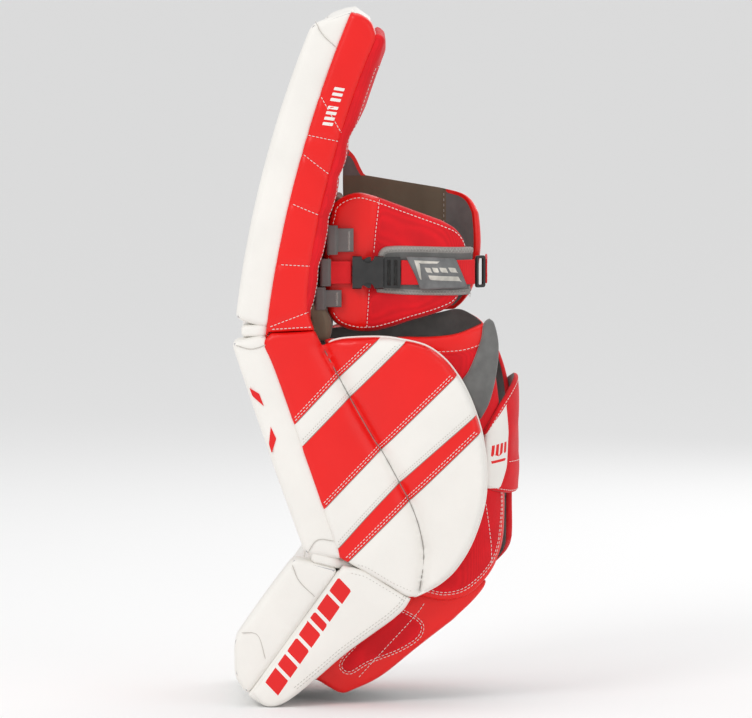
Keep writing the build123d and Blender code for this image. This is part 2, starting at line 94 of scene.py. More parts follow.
# ---- Plane geometry ------------------------------------------------------------------
class Section:
    """A face section in side view: depth from the roll's front, height up the front."""

    def __init__(self, corner, lean, roll, back, bottom, top, radius=None):
        self.corner, self.lean, self.radius = corner, radians(lean), radius
        self.roll, self.back, self.bottom, self.top = roll, back, bottom, top
        if radius is not None:
            self.centre = (
                corner[0] + radius * cos(self.lean),
                corner[1] + radius * sin(self.lean),
            )

    def point(self, depth, height):
        y, z = self.corner
        if self.radius is None:
            y += depth * cos(self.lean) - height * sin(self.lean)
            z += depth * sin(self.lean) + height * cos(self.lean)
            return (y, z)
        turned = self.lean - height / self.radius
        reach = self.radius - depth
        return (self.centre[0] - reach * cos(turned), self.centre[1] - reach * sin(turned))

    def locate(self, y, z):
        """Depth and height of a side-view point."""
        if self.radius is None:
            dy, dz = y - self.corner[0], z - self.corner[1]
            c, s = cos(self.lean), sin(self.lean)
            return (dy * c + dz * s, dz * c - dy * s)
        dy, dz = self.centre[0] - y, self.centre[1] - z
        return (self.radius - hypot(dy, dz), (self.lean - atan2(dz, dy)) * self.radius)

    def low(self, depth):
        return on_line(self.bottom, depth)

    def high(self, depth):
        return on_line(self.top, depth)


def on_line(line, depth):
    for (d0, h0), (d1, h1) in zip(line, line[1:]):
        if depth <= d1:
            return h0 + (h1 - h0) * (depth - d0) / (d1 - d0)
    return line[-1][1]


thigh = Section((-180, 13), -7.5, 36, 72, [(0, 5), (36, 0), (80, 22)],
                [(0, 336), (36, 368), (60, 362), (80, 330)], 1389)
shin = Section((-185, -5), 19.1, 37, 86, [(0, -248), (37, -267), (86, -321)],
               [(0, -3), (37, -7), (86, -23)])
boot = Section((-118, -246), -35.9, 46.5, 78,
               [(0, -108), (24, -139), (46.5, -149), (70, -148), (90, -126)],
               [(0, 2), (46.5, 21), (130, 23)])
SECTIONS = {"thigh": thigh, "shin": shin, "boot": boot}


def rounded(points, steps=8):
    """A smooth line through the points, by Catmull-Rom."""
    if len(points) < 3:
        return list(points)
    p = [np.array(q, float) for q in points]
    p = [2 * p[0] - p[1], *p, 2 * p[-1] - p[-2]]
    line = []
    for a, b, c, d in zip(p, p[1:], p[2:], p[3:]):
        for i in range(steps):
            t = i / steps
            line.append(0.5 * (2 * b + (c - a) * t + (2 * a - 5 * b + 4 * c - d) * t * t
                               + (3 * b - a - 3 * c + d) * t ** 3))
    line.append(p[-2])
    return [tuple(q) for q in line]


def loop(*legs):
    """A closed outline of smooth legs that meet at corners."""
    line = []
    for leg in legs:
        line += rounded(leg)[: None if len(leg) < 2 else -1]
    return line


def resample(line, step, closed=False):
    """Evenly spaced points along a line, its own ends kept."""
    p = np.array(line + [line[0]] if closed else line, float)
    run = np.concatenate([[0], np.cumsum(np.linalg.norm(np.diff(p, axis=0), axis=1))])
    count = max(2, int(round(run[-1] / step)))
    at = np.linspace(0, run[-1], count + 1)
    out = np.stack([np.interp(at, run, p[:, k]) for k in range(p.shape[1])], axis=1)
    return out[:-1] if closed else out


def distance(points, line):
    """Distance from each point to a line of segments."""
    points, line = np.atleast_2d(points), np.asarray(line, float)
    best = np.full(len(points), 1e9)
    for a, b in zip(line, line[1:]):
        along = b - a
        t = np.clip(((points - a) @ along) / max(along @ along, 1e-9), 0, 1)
        best = np.minimum(best, np.linalg.norm(points - a - t[:, None] * along, axis=1))
    return best


def inside(points, outline):
    """Which points are inside a closed outline."""
    points, q = np.atleast_2d(points), np.asarray(outline, float)
    found = np.zeros(len(points), bool)
    for (x0, y0), (x1, y1) in zip(q, np.roll(q, -1, axis=0)):
        crosses = (y0 > points[:, 1]) != (y1 > points[:, 1])
        if y1 != y0:
            found ^= crosses & (points[:, 0] < (x1 - x0) * (points[:, 1] - y0) / (y1 - y0) + x0)
    return found


def step_up(t):
    """0 to 1, smooth at both ends."""
    t = np.clip(t, 0, 1)
    return t * t * (3 - 2 * t)


# ---- Materials -----------------------------------------------------------------------
def new_material(name):
    material = bpy.data.materials.new(name)
    material.use_nodes = True
    nodes, links = material.node_tree.nodes, material.node_tree.links
    shader = nodes["Principled BSDF"]
    where = nodes.new("ShaderNodeTexCoord").outputs["Object"]
    return material, nodes, links, shader, where


def grain(nodes, links, where, scale, detail=2.0):
    n = nodes.new("ShaderNodeTexNoise")
    n.inputs["Scale"].default_value = scale
    n.inputs["Detail"].default_value = detail
    links.new(where, n.inputs["Vector"])
    return n.outputs["Fac"]


def ramp(nodes, links, value, stops):
    r = nodes.new("ShaderNodeValToRGB")
    for i, (place, colour) in enumerate(stops):
        e = r.color_ramp.elements[i] if i < 2 else r.color_ramp.elements.new(place)
        e.position, e.color = place, (*colour, 1)
    links.new(value, r.inputs["Fac"])
    return r.outputs["Color"]


def bump(nodes, links, shader, height, strength, depth, under=None):
    b = nodes.new("ShaderNodeBump")
    b.inputs["Strength"].default_value = strength
    b.inputs["Distance"].default_value = depth
    links.new(height, b.inputs["Height"])
    if under is not None:
        links.new(under, b.inputs["Normal"])
    links.new(b.outputs["Normal"], shader.inputs["Normal"])
    return b.outputs["Normal"]


def maths(nodes, links, operation, a, b):
    m = nodes.new("ShaderNodeMath")
    m.operation = operation
    for socket, value in zip(m.inputs, (a, b)):
        if isinstance(value, (int, float)):
            socket.default_value = value
        else:
            links.new(value, socket)
    return m.outputs[0]


def shade(colour, by):
    return tuple(min(1.0, c * by) for c in colour)


def leather(name, colour, roughness=0.4, pebble=1.0):
    """Smooth synthetic leather: fine pebbles, soft folds, faint scuffs."""
    material, nodes, links, shader, where = new_material(name)
    blotch = grain(nodes, links, where, 14, 4)
    tint = ramp(nodes, links, blotch, [(0.3, shade(colour, 0.93)), (0.72, colour)])
    links.new(tint, shader.inputs["Base Color"])
    scuff = grain(nodes, links, where, 55, 6)
    rough = maths(nodes, links, "MULTIPLY_ADD", scuff, 0.22)
    rough.node.inputs[2].default_value = roughness - 0.11
    links.new(rough, shader.inputs["Roughness"])
    shader.inputs["Specular IOR Level"].default_value = 0.32
    shader.inputs["Coat Weight"].default_value = 0.08
    shader.inputs["Coat Roughness"].default_value = 0.35
    cells = nodes.new("ShaderNodeTexVoronoi")
    cells.inputs["Scale"].default_value = 850
    links.new(where, cells.inputs["Vector"])
    fold = bump(nodes, links, shader, grain(nodes, links, where, 38, 3), 0.25, 0.0012)
    bump(nodes, links, shader, cells.outputs["Distance"], 0.22 * pebble, 0.00025, fold)
    return material


def woven(name, colour, pitch=0.0011, depth=0.0003, sheen=0.1, roughness=0.72):
    """Woven cloth: threads both ways at one pitch, with a slight unevenness of dye."""
    material, nodes, links, shader, where = new_material(name)
    blotch = grain(nodes, links, where, 30, 5)
    threads = None
    for axis in "XYZ":
        w = nodes.new("ShaderNodeTexWave")
        w.bands_direction = axis
        w.inputs["Scale"].default_value = 2 * pi / (20 * pitch)
        w.inputs["Distortion"].default_value = 0.6
        w.inputs["Detail Scale"].default_value = 3.0
        links.new(where, w.inputs["Vector"])
        height = w.outputs["Fac"]
        threads = height if threads is None else maths(nodes, links, "ADD", threads, height)
    weave = maths(nodes, links, "MULTIPLY", threads, 0.33)
    both = maths(nodes, links, "MULTIPLY_ADD", weave, 0.45)
    links.new(maths(nodes, links, "MULTIPLY", blotch, 0.6), both.node.inputs[2])
    tint = ramp(nodes, links, both, [(0.35, shade(colour, 0.72)), (0.85, shade(colour, 1.08))])
    links.new(tint, shader.inputs["Base Color"])
    shader.inputs["Roughness"].default_value = roughness
    shader.inputs["Specular IOR Level"].default_value = 0.3
    shader.inputs["Sheen Weight"].default_value = sheen
    shader.inputs["Sheen Roughness"].default_value = 0.4
    fold = bump(nodes, links, shader, grain(nodes, links, where, 45, 3), 0.35, 0.002)
    bump(nodes, links, shader, weave, 0.7, depth, fold)
    return material


def napped(name, colour, roughness=0.9):
    """Synthetic suede or brushed lining: a short nap, lighter where it is rubbed."""
    material, nodes, links, shader, where = new_material(name)
    rub = grain(nodes, links, where, 60, 6)
    tint = ramp(nodes, links, rub, [(0.3, shade(colour, 0.8)), (0.75, shade(colour, 1.15))])
    links.new(tint, shader.inputs["Base Color"])
    shader.inputs["Roughness"].default_value = roughness
    shader.inputs["Sheen Weight"].default_value = 0.35
    bump(nodes, links, shader, grain(nodes, links, where, 1400, 3), 0.5, 0.0004)
    return material


def moulded(name, colour, roughness=0.42, pattern=700):
    """Moulded plastic or rubber: spark-eroded texture and fine handling scratches."""
    material, nodes, links, shader, where = new_material(name)
    marks = grain(nodes, links, where, 90, 8)
    tint = ramp(nodes, links, marks, [(0.35, shade(colour, 0.85)), (0.8, shade(colour, 1.5))])
    links.new(tint, shader.inputs["Base Color"])
    rough = maths(nodes, links, "MULTIPLY_ADD", marks, 0.25)
    rough.node.inputs[2].default_value = roughness - 0.1
    links.new(rough, shader.inputs["Roughness"])
    bump(nodes, links, shader, grain(nodes, links, where, pattern, 2), 0.25, 0.0002)
    return material


def twisted(name, colour):
    """Sewing thread, with its twist."""
    material, nodes, links, shader, where = new_material(name)
    w = nodes.new("ShaderNodeTexWave")
    w.bands_direction = "DIAGONAL"
    w.inputs["Scale"].default_value = 700
    links.new(where, w.inputs["Vector"])
    tint = ramp(nodes, links, w.outputs["Fac"], [(0.2, shade(colour, 0.8)), (0.8, colour)])
    links.new(tint, shader.inputs["Base Color"])
    shader.inputs["Roughness"].default_value = 0.6
    bump(nodes, links, shader, w.outputs["Fac"], 0.5, 0.0001)
    return material


WHITE, RED, NYLON_RED = (0.87, 0.845, 0.80), (0.84, 0.010, 0.008), (0.80, 0.005, 0.013)
mats = {
    "white": leather("white_leather", WHITE, 0.42),
    "red": leather("red_leather", RED, 0.34),
    "print_red": leather("printed_red", (0.78, 0.012, 0.012), 0.45, 0.5),
    "nylon": woven("red_nylon", NYLON_RED),
    "olive": woven("olive_nylon", (0.185, 0.145, 0.098), sheen=0.35),
    "webbing": woven("grey_webbing", (0.165, 0.155, 0.150), 0.0013, 0.0004),
    "red_webbing": woven("red_webbing", (0.80, 0.012, 0.018), 0.0012, 0.0004),
    "lining": napped("grey_lining", (0.155, 0.148, 0.142)),
    "suede": napped("grey_suede", (0.150, 0.150, 0.145)),
    "binding": woven("pale_binding", (0.36, 0.34, 0.32), 0.0016, 0.0005),
    "plastic": moulded("black_plastic", (0.018, 0.018, 0.018), 0.36),
    "label": moulded("grey_label", (0.135, 0.138, 0.138), 0.55, 1200),
    "label_print": moulded("label_print", (0.50, 0.48, 0.43), 0.55, 1200),
    "foam": moulded("closed_cell_foam", (0.42, 0.42, 0.43), 0.85, 1600),
    "sheet": moulded("stiffener_sheet", (0.72, 0.72, 0.70), 0.5, 300),
    "metal": moulded("plated_steel", (0.45, 0.45, 0.46), 0.3, 500),
    "thread": twisted("white_thread", (0.90, 0.88, 0.84)),
    "pale_thread": twisted("sand_thread", (0.62, 0.59, 0.54)),
    # Painted seam shade: thin dark tubes laid along creases and seam grooves, standing in for the shade
    # that falls in them.
    "dark_seam": leather("seam_shadow", (0.33, 0.30, 0.27), 0.7),
}
mats["metal"].node_tree.nodes["Principled BSDF"].inputs["Metallic"].default_value = 1.0


# ---- Mesh builders -------------------------------------------------------------------
def build(name, vertices, faces, slots, which=None, smooth=True):
    """A mesh object from millimetre points; which picks each face's material."""
    mesh = bpy.data.meshes.new(name)
    mesh.from_pydata([tuple(c * MM for c in v) for v in vertices], [], faces)
    for s in slots:
        mesh.materials.append(mats[s])
    if which is not None:
        mesh.polygons.foreach_set("material_index", np.asarray(which, np.int32))
    mesh.polygons.foreach_set("use_smooth", [smooth] * len(faces))
    mesh.validate()
    mesh.update()
    piece = bpy.data.objects.new(name, mesh)
    bpy.context.collection.objects.link(piece)
    return piece


def settle(piece, body, replaces=()):
    """Puts a finished piece on its body and hides the nodes it stands for."""
    if body is not None:
        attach(piece, body)
    if replaces:
        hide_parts(*replaces)
    return piece


def axis_marks(length, radius, spacing):
    """Lattice positions along an edge, close together in its rounded ends."""
    ends = [0, 0.2, 0.5, 1]
    inner = max(1, int((length - 2 * radius) / spacing))
    middle = [radius + (length - 2 * radius) * i / inner for i in range(1, inner)]
    start = [e * radius for e in ends]
    return start + middle + [length - e for e in reversed(start)]


def padded_box(name, size, radius, puff, place, slots, paint=None, spacing=7.0, extra=()):
    """A rounded box that swells between its edges; place turns box coordinates into the
    row's, and extra adds lattice positions as (axis, position)."""
    marks = [axis_marks(s, radius, spacing) for s in size]
    for axis, position in extra:
        marks[axis] = sorted(set(marks[axis]) | {position})
    counts = [len(m) - 1 for m in marks]
    index, vertices = {}, []

    def vertex(i, j, k):
        if (i, j, k) in index:
            return index[i, j, k]
        p = np.array([marks[0][i], marks[1][j], marks[2][k]])
        q = np.clip(p, radius, np.array(size) - radius)
        out = p - q
        n = out / np.linalg.norm(out)
        t = p / np.array(size)
        swell = 1 - np.abs(2 * t - 1) ** 2.5
        grow = sum(abs(n[a]) * puff[a] * swell[a - 1] * swell[a - 2] for a in range(3))
        ripple = noise.noise(Vector(p) * 0.02) * 0.7 + noise.noise(Vector(p) * 0.06) * 0.3
        p = q + n * (radius + grow + ripple * min(1.0, max(puff)) * swell[0] ** 0.3)
        index[i, j, k] = len(vertices)
        vertices.append(place(*p))
        return index[i, j, k]

    faces, which = [], []
    for axis in range(3):
        a, b = [k for k in range(3) if k != axis]
        for end in (0, counts[axis]):
            for i in range(counts[a]):
                for j in range(counts[b]):
                    quad = []
                    for di, dj in ((0, 0), (1, 0), (1, 1), (0, 1)):
                        c = [0, 0, 0]
                        c[axis], c[a], c[b] = end, i + di, j + dj
                        quad.append(vertex(*c))
                    faces.append(quad)
                    which.append(paint(axis, end > 0, marks[a][i], marks[b][j]) if paint else 0)
    piece = build(name, vertices, faces, slots, which)
    face_out(piece)
    return piece


def inflate(piece, pinned, cap, voxel=5.0, pressure=4.0):
    """Swells a stuffed piece by cloth simulation. pinned says which points (mm) the seams
    hold, and no other point moves further than cap."""

    def evaluated():
        graph = bpy.context.evaluated_depsgraph_get()
        return bpy.data.meshes.new_from_object(piece.evaluated_get(graph))

    remesh = piece.modifiers.new("voxels", "REMESH")
    remesh.mode, remesh.voxel_size = "VOXEL", voxel * MM
    fine = evaluated()
    piece.modifiers.clear()
    piece.data = fine
    start = np.array([v.co for v in fine.vertices])
    group = piece.vertex_groups.new(name="seams")
    group.add([i for i, p in enumerate(start / MM) if pinned(p)], 1.0, "REPLACE")
    cloth = piece.modifiers.new("swell", "CLOTH")
    cloth.settings.use_pressure = True
    cloth.settings.uniform_pressure_force = pressure
    cloth.settings.effector_weights.gravity = 0
    cloth.settings.vertex_group_mass = "seams"
    cloth.settings.quality = 5
    cloth.point_cache.frame_end = 20
    for frame_number in range(1, 21):
        bpy.context.scene.frame_set(frame_number)
    swollen = evaluated()
    moved = np.array([v.co for v in swollen.vertices]) - start
    far = np.linalg.norm(moved, axis=1)
    moved *= np.minimum(1, cap * MM / np.maximum(far, 1e-9))[:, None]
    piece.modifiers.clear()
    piece.vertex_groups.clear()
    bpy.context.scene.frame_set(1)
    fine.vertices.foreach_set("co", (start + moved).astype(np.float32).ravel())
    finer = piece.modifiers.new("finer", "SUBSURF")
    finer.levels = 1
    piece.data = evaluated()
    piece.modifiers.clear()
    piece.data.polygons.foreach_set("use_smooth", [True] * len(piece.data.polygons))


def face_out(piece):
    """Turns a closed mesh's faces to look outwards."""
    b = bmesh.new()
    b.from_mesh(piece.data)
    bmesh.ops.recalc_face_normals(b, faces=b.faces)
    b.to_mesh(piece.data)
    b.free()


class Panel:
    """A sewn panel: a flat outline in (u, v), raised by height, set in place by place."""

    def __init__(self, outline, place, height, seams=(), depth=None):
        self.outline = resample(outline, 3.2, closed=True)
        self.ring = np.vstack([self.outline, self.outline[:1]])
        self.place, self.height, self.seams = place, height, [np.array(s) for s in seams]
        self.depth = depth

    def rise(self, points):
        points = np.atleast_2d(points)
        return self.height(points, distance(points, self.ring), self)

    def follow(self, line, lift=0.0):
        """Points of a (u, v) line on the raised surface."""
        line = np.asarray(line, float)
        heights = self.rise(line)
        return [Vector(self.place(u, v, h + lift)) for (u, v), h in zip(line, heights)]

    def mesh(self, name, slots, paint=None, borders=(), spacing=3.6, back_slot=None):
        """The closed mesh: raised outside, flatter inside, sharing the rim."""
        low, high = self.outline.min(axis=0), self.outline.max(axis=0)
        rows = int((high[1] - low[1]) / (spacing * 0.87)) + 1
        columns = int((high[0] - low[0]) / spacing) + 2
        u, v = np.meshgrid(np.arange(columns), np.arange(rows))
        grid = np.stack([
            low[0] + (u + 0.5 * (v % 2)) * spacing,
            low[1] + (v + 0.5) * spacing * 0.87,
        ], axis=-1).reshape(-1, 2)
        keep = inside(grid, self.outline) & (distance(grid, self.ring) > 0.55 * spacing)
        lines = [resample(list(map(tuple, s)), spacing) for s in [*self.seams, *borders]]
        for line in lines:
            keep &= distance(grid, line) > 0.6 * spacing
        rims = []
        for inset in (0.8, 2.2):
            rims.append(self.inset(inset))
        grid = grid[keep & (distance(grid, self.ring) > 3.6)]
        points, edges = [], []
        for line, closed in [(self.outline, True)] + [(n, False) for n in lines]:
            start = len(points)
            points += [Vector(p) for p in line]
            ends = len(line) if closed else len(line) - 1
            edges += [(start + i, start + (i + 1) % len(line)) for i in range(ends)]
        points += [Vector(p) for p in grid]
        for rim in rims:
            points += [Vector(p) for p in rim]
        out = delaunay_2d_cdt(points, edges, [], 0, 1e-4)
        flat = np.array([tuple(p) for p in out[0]])
        triangles = np.array(out[2])
        centres = flat[triangles].mean(axis=1)
        triangles = triangles[inside(centres, self.outline)]
        centres = flat[triangles].mean(axis=1)
        which = paint(centres) if paint else np.zeros(len(triangles), int)
        rim_gap = distance(flat, self.ring)
        heights = self.rise(flat)
        under = self.depth(flat, rim_gap)
        vertices = [self.place(p[0], p[1], h) for p, h in zip(flat, heights)]
        back = {}
        for i, (p, gap) in enumerate(zip(flat, rim_gap)):
            if gap < 0.02:
                back[i] = i
            else:
                back[i] = len(vertices)
                vertices.append(self.place(p[0], p[1], -under[i]))
        faces = [tuple(t) for t in triangles]
        faces += [tuple(back[i] for i in reversed(t)) for t in faces]
        names = list(slots)
        lower = which
        if back_slot is not None:
            names.append(back_slot)
            lower = np.full(len(which), len(names) - 1)
        piece = build(name, vertices, faces, names, np.concatenate([which, lower]))
        tidy_mesh(piece)
        return piece

    def inset(self, by):
        """The outline's points moved inwards."""
        before, after = np.roll(self.outline, 1, axis=0), np.roll(self.outline, -1, axis=0)
        along = after - before
        along /= np.maximum(np.linalg.norm(along, axis=1), 1e-9)[:, None]
        area = np.sum(self.outline[:, 0] * after[:, 1] - after[:, 0] * self.outline[:, 1])
        turn = 1 if area > 0 else -1
        moved = self.outline + np.stack([-along[:, 1], along[:, 0]], axis=1) * by * turn
        good = inside(moved, self.outline) & (distance(moved, self.ring) > 0.7 * by)
        return moved[good]


def tidy_mesh(piece):
    """Drops loose points and turns the faces outwards."""
    b = bmesh.new()
    b.from_mesh(piece.data)
    bmesh.ops.delete(b, geom=[v for v in b.verts if not v.link_faces], context="VERTS")
    bmesh.ops.recalc_face_normals(b, faces=b.faces)
    b.to_mesh(piece.data)
    b.free()


def tube(points, radius, sides=8, closed=False):
    """Vertices and faces of a round tube along 3-D points, with domed ends."""
    p = [Vector(q) for q in points]
    count = len(p)
    rings, faces = [], []
    normal = None
    for i, here in enumerate(p):
        before = p[i - 1] if i or closed else here
        after = p[(i + 1) % count] if i + 1 < count or closed else here
        along = (after - before).normalized()
        if normal is None:
            normal = along.orthogonal().normalized()
        normal = (normal - along * normal.dot(along)).normalized()
        side = along.cross(normal)
        r = radius * (0.45 if not closed and i in (0, count - 1) else 1.0)
        for k in range(sides):
            angle = 2 * pi * k / sides
            rings.append(here + (normal * cos(angle) + side * sin(angle)) * r)
    last = count if closed else count - 1
    for i in range(last):
        for k in range(sides):
            a, b = i * sides, (i + 1) % count * sides
            faces.append((a + k, a + (k + 1) % sides, b + (k + 1) % sides, b + k))
    if not closed:
        faces.append(tuple(reversed(range(sides))))
        faces.append(tuple((count - 1) * sides + k for k in range(sides)))
    return rings, faces


def joined(parts):
    """Several (vertices, faces) lists as one."""
    vertices, faces = [], []
    for v, f in parts:
        start = len(vertices)
        vertices += v
        faces += [tuple(start + i for i in face) for face in f]
    return vertices, faces


def stitched(panel, line, pitch=4.4, length=3.1, radius=0.42, lift=0.12):
    """A row of stitches along a (u, v) line of a panel."""
    line = resample(list(map(tuple, line)), 1.1)
    surface = panel.follow(line, lift)
    run = np.concatenate([[0], np.cumsum([(b - a).length for a, b in zip(surface, surface[1:])])])
    at = np.array([tuple(s) for s in surface])
    parts = []
    for i in range(int(run[-1] / pitch)):
        start = i * pitch + 0.5 * (pitch - length)
        marks = start + length * np.array([0, 0.2, 0.8, 1])
        points = np.stack([np.interp(marks, run, at[:, k]) for k in range(3)], axis=1)
        parts.append(tube(points, radius, 5))
    return joined(parts)


def thread(name, rows, body, colour="thread"):
    """One object of many stitch rows."""
    vertices, faces = joined(rows)
    piece = build(name, vertices, faces, [colour])
    return settle(piece, body)


# ---- Rolls and slabs -----------------------------------------------------------------
def section_place(section, x0, depth0, length, front=None):
    """Box coordinates (depth, x, height) to the row's, in a section. The box's height is
    spread between the section's end lines."""

    def place(d, w, h):
        x = x0 + w
        depth = depth0 + d if front is None else front(x, d)
        low, high = section.low(depth), section.high(depth)
        return (x, *section.point(depth, low + (high - low) * h / length))

    return place


def roll(name):
    """The padded roll along the outer edge, with its seams."""
    section = SECTIONS[name]
    length = section.high(10) - section.low(10)
    size = (section.roll + 1.5, OUTER - ROLL_X, length)
    place = section_place(section, ROLL_X, 0, length)
    piece = padded_box(f"{name}_roll", size, 6.5, (1.6, 1.4, 1.2), place, ["white"])
    settle(piece, name, [f"{name}_roll_cover"])
    seam = []
    side = OUTER + 1.0
    top, low = section.high(10), section.low(10)
    if name == "thigh":
        corners = [[(2, top - 3), (15, top - 14), (34, top - 22)]]
    elif name == "shin":
        corners = [[(3, -7), (18, -17), (36, -18)], [(3, low + 5), (18, low + 15), (35, low + 8)]]
    else:
        corners = [[(3, -4), (20, -14), (44, -18)], [(2, low + 24), (18, low + 32), (40, low + 16)]]
    for line in corners:
        points = [(side + 0.15, *section.point(*p)) for p in rounded(line)]
        seam.append(tube(points, 0.45, 6))
    edges = joined(seam)
    settle(build(f"{name}_roll_seams", *edges, ["pale_thread"]), name)


def slab(name):
    """The flat core behind the roll: striking face, ends and inner side."""
    section = SECTIONS[name]
    length = section.high(section.roll) - section.low(section.roll)
    thick = section.back - FACE

    def front(x, d):
        start = FACE + (section.roll - FACE + 1) * float(step_up((x - ROLL_X + 3) / 4))
        return start + (section.back - start) * d / thick

    width = OUTER - 1.5 - INNER
    size = (thick, width, length)
    place = section_place(section, INNER, 0, length, front)
    steps = [(1, ROLL_X - INNER + k) for k in (-4, -2, 0, 2)]
    piece = padded_box(f"{name}_core", size, 5, (1.2, 1.2, 1.5), place, ["white"],
                       spacing=9, extra=steps)
    settle(piece, name, [f"{name}_cover"])


for part in SECTIONS:
    roll(part)
    slab(part)


def face_panel(name, bands):
    """A thin leather facing on the striking face, its colour bands sewn in."""
    section = SECTIONS[name]
    low, high = section.low(FACE) + 4, section.high(FACE) - 4
    left, right = INNER + 5, ROLL_X - 3

    def place(u, v, h):
        return (u, *section.point(FACE - h, v))

    def height(points, gap, panel):
        raised = 2.4 * np.sqrt(1 - (1 - np.clip(gap / 3, 0, 1)) ** 2)
        for s in panel.seams:
            raised -= 1.0 * np.exp(-((distance(points, s) / 2.2) ** 2))
        return raised

    outline = [(left, low), (right, low), (right, high), (left, high)]
    polygons = [np.array(b) for b in bands]
    seams = [np.vstack([b, b[:1]]) for b in polygons]
    panel = Panel(outline, place, height, seams, lambda p, g: np.full(len(p), -0.6))

    def paint(centres):
        found = np.zeros(len(centres), int)
        for b in polygons:
            found[inside(centres, b)] = 1
        return found

    piece = panel.mesh(f"{name}_facing", ["white", "red"], paint, spacing=7)
    settle(piece, name)
    rows = []
    for b in polygons:
        for a, c in ((b[0], b[1]), (b[2], b[3])):
            middle = b.mean(axis=0)
            for inset in (3.0, 5.4):
                shift = middle - (a + c) / 2
                shift = shift / np.linalg.norm(shift) * inset
                row = resample([tuple(a + shift), tuple(c + shift)], 2.0)
                row = row[inside(row, panel.outline) & (distance(row, panel.ring) > 3)]
                if len(row) > 4:
                    rows.append(stitched(panel, row, pitch=5))
    thread(f"{name}_facing_stitches", rows, name)


def slanted(low, high, rise=150.0):
    """A band across the face, rising to the inner side."""
    left, right = INNER - 5, ROLL_X + 5
    return [(left, low + rise), (right, low), (right, high), (left, high + rise)]


face_panel("thigh", [slanted(-40, 10), slanted(60, 86)])
face_panel("shin", [slanted(-236, -150), slanted(-110, -84)])
face_panel("boot", [slanted(-150, -104, 84)])


# ---- Sides of the three sections -----------------------------------------------------
def bumped(points, gap, panel, base, groove=1.3, rim=5.0, width=2.6):
    """Height of a stuffed panel: up from its rim, creased along its seams."""
    raised = base * np.sqrt(np.clip(1 - (1 - np.clip(gap / rim, 0, 1)) ** 2, 0, 1))
    for s in panel.seams:
        raised = raised - groove * np.exp(-((distance(points, s) / width) ** 2))
    return raised


SIDE = 106.0  # the side panels' rims lie this far out, and they swell past the roll


def out_place(x0, side=1):
    return lambda u, v, h: (side * (x0 + h), u, v)


def shifted(line, by):
    """A straight or bent line moved square to itself."""
    p = np.array(line, float)
    along = np.gradient(p, axis=0)
    along /= np.linalg.norm(along, axis=1)[:, None]
    return p + np.stack([-along[:, 1], along[:, 0]], axis=1) * by


def over_knee(piece):
    """Bakes the piece's placement into its mesh."""
    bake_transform(piece)


def thigh_side():
    """Red leather down the thigh's outer side, sewn across in sections. Its foot is sewn to
    the shin's cover."""
    near, far = 34.0, 72.0
    high = thigh.high(42) - 1
    front_foot, rear_foot = thigh.locate(-142, 2.5), thigh.locate(-93, 4.5)

    def place(u, v, h):
        return (SIDE + h, *thigh.point(u, v))

    outline = loop([front_foot, (near, 14), (near, high)],
                   [(near, high), (46, high + 2), (60, high - 2), (72, high - 16)],
                   [(72, high - 16), (71, high - 110), (far, 120), (74, 60), (78, 26), rear_foot],
                   [rear_foot, front_foot])
    rows = [((-86, 260), (-63, 219)), ((-100, 218), (-66, 211)), ((-105, 197), (-74, 173)),
            ((-117, 143), (-86, 130)), ((-130, 77), (-93, 75)), ((-142, 9), (-97, 26))]
    seams = [[thigh.locate(*a), thigh.locate(*b)] for a, b in rows]
    foot = [thigh.locate(-140, 6.5), thigh.locate(-96, 9)]

    def height(points, gap, panel):
        belly = 8.6 + 1.2 * np.sin(np.clip((points[:, 0] - near) / (far - near), 0, 1) * pi)
        return bumped(points, gap, panel, belly, 1.5, 4.5, 3.2)

    panel = Panel(outline, place, height, seams, lambda p, g: np.clip(g, 0, 2.0))
    piece = panel.mesh("thigh_side", ["red"], spacing=3.4)
    over_knee(piece)
    settle(piece, None)
    made = [stitched(panel, resample(s, 2), lift=0.5) for s in seams[:-1]]
    thread("thigh_side_stitches", made, "thigh")
    made = [stitched(panel, resample(s, 2), lift=0.4) for s in (seams[-1], foot)]
    stitches = build("knee_side_stitches", *joined(made), ["thread"])
    over_knee(stitches)
    settle(stitches, None)
    chips = []
    for i in range(7):
        start = 236 + i * 6.4 + (3 if i > 3 else 0)
        mark = [(47, start), (58, start + 2), (58, start + 5.6), (47, start + 3.6)]
        ring = resample(mark, 1.5, closed=True)
        top, low = panel.follow(ring, 0.35), panel.follow(ring, -0.6)
        n = len(ring)
        faces = [tuple(reversed(range(n)))]
        faces += [(i, (i + 1) % n, n + (i + 1) % n, n + i) for i in range(n)]
        chips.append((top + low, faces))
    vertices, faces = joined(chips)
    bars = build("thigh_size_bars", vertices, faces, ["white"], smooth=False)
    settle(bars, "thigh")


thigh_side()


def back_panel():
    """The thigh's back: quilted red nylon, bound along the side edge."""
    length = 300.0
    quilts = [thigh.locate(*p)[1] for p in
              ((-62, 219), (-68, 211), (-76, 173), (-87, 130), (-95, 75), (-96, 26))]

    def place(d, w, h):
        depth = thigh.back - 6.5 + d
        low, high = thigh.low(76) - 11, thigh.high(72) + 13
        height = low + (high - low) * h / length
        pinch = sum(np.exp(-(((height - q) / 7) ** 2)) for q in quilts)
        depth += (1.8 - 3.2 * min(1.0, pinch)) * d / 14.5
        return (INNER + w, *thigh.point(depth, height))

    size = (14.5, OUTER - INNER + 1.5, length)
    piece = padded_box("thigh_back", size, 5, (1.5, 1.5, 1.5), place, ["nylon"], spacing=8)

    def pinned(p):
        depth, height = thigh.locate(p[1], p[2])
        return depth < thigh.back or min(abs(height - q) for q in quilts) < 3.5

    inflate(piece, pinned, 3.5)
    settle(piece, "thigh", ["thigh_back_panel"])


back_panel()

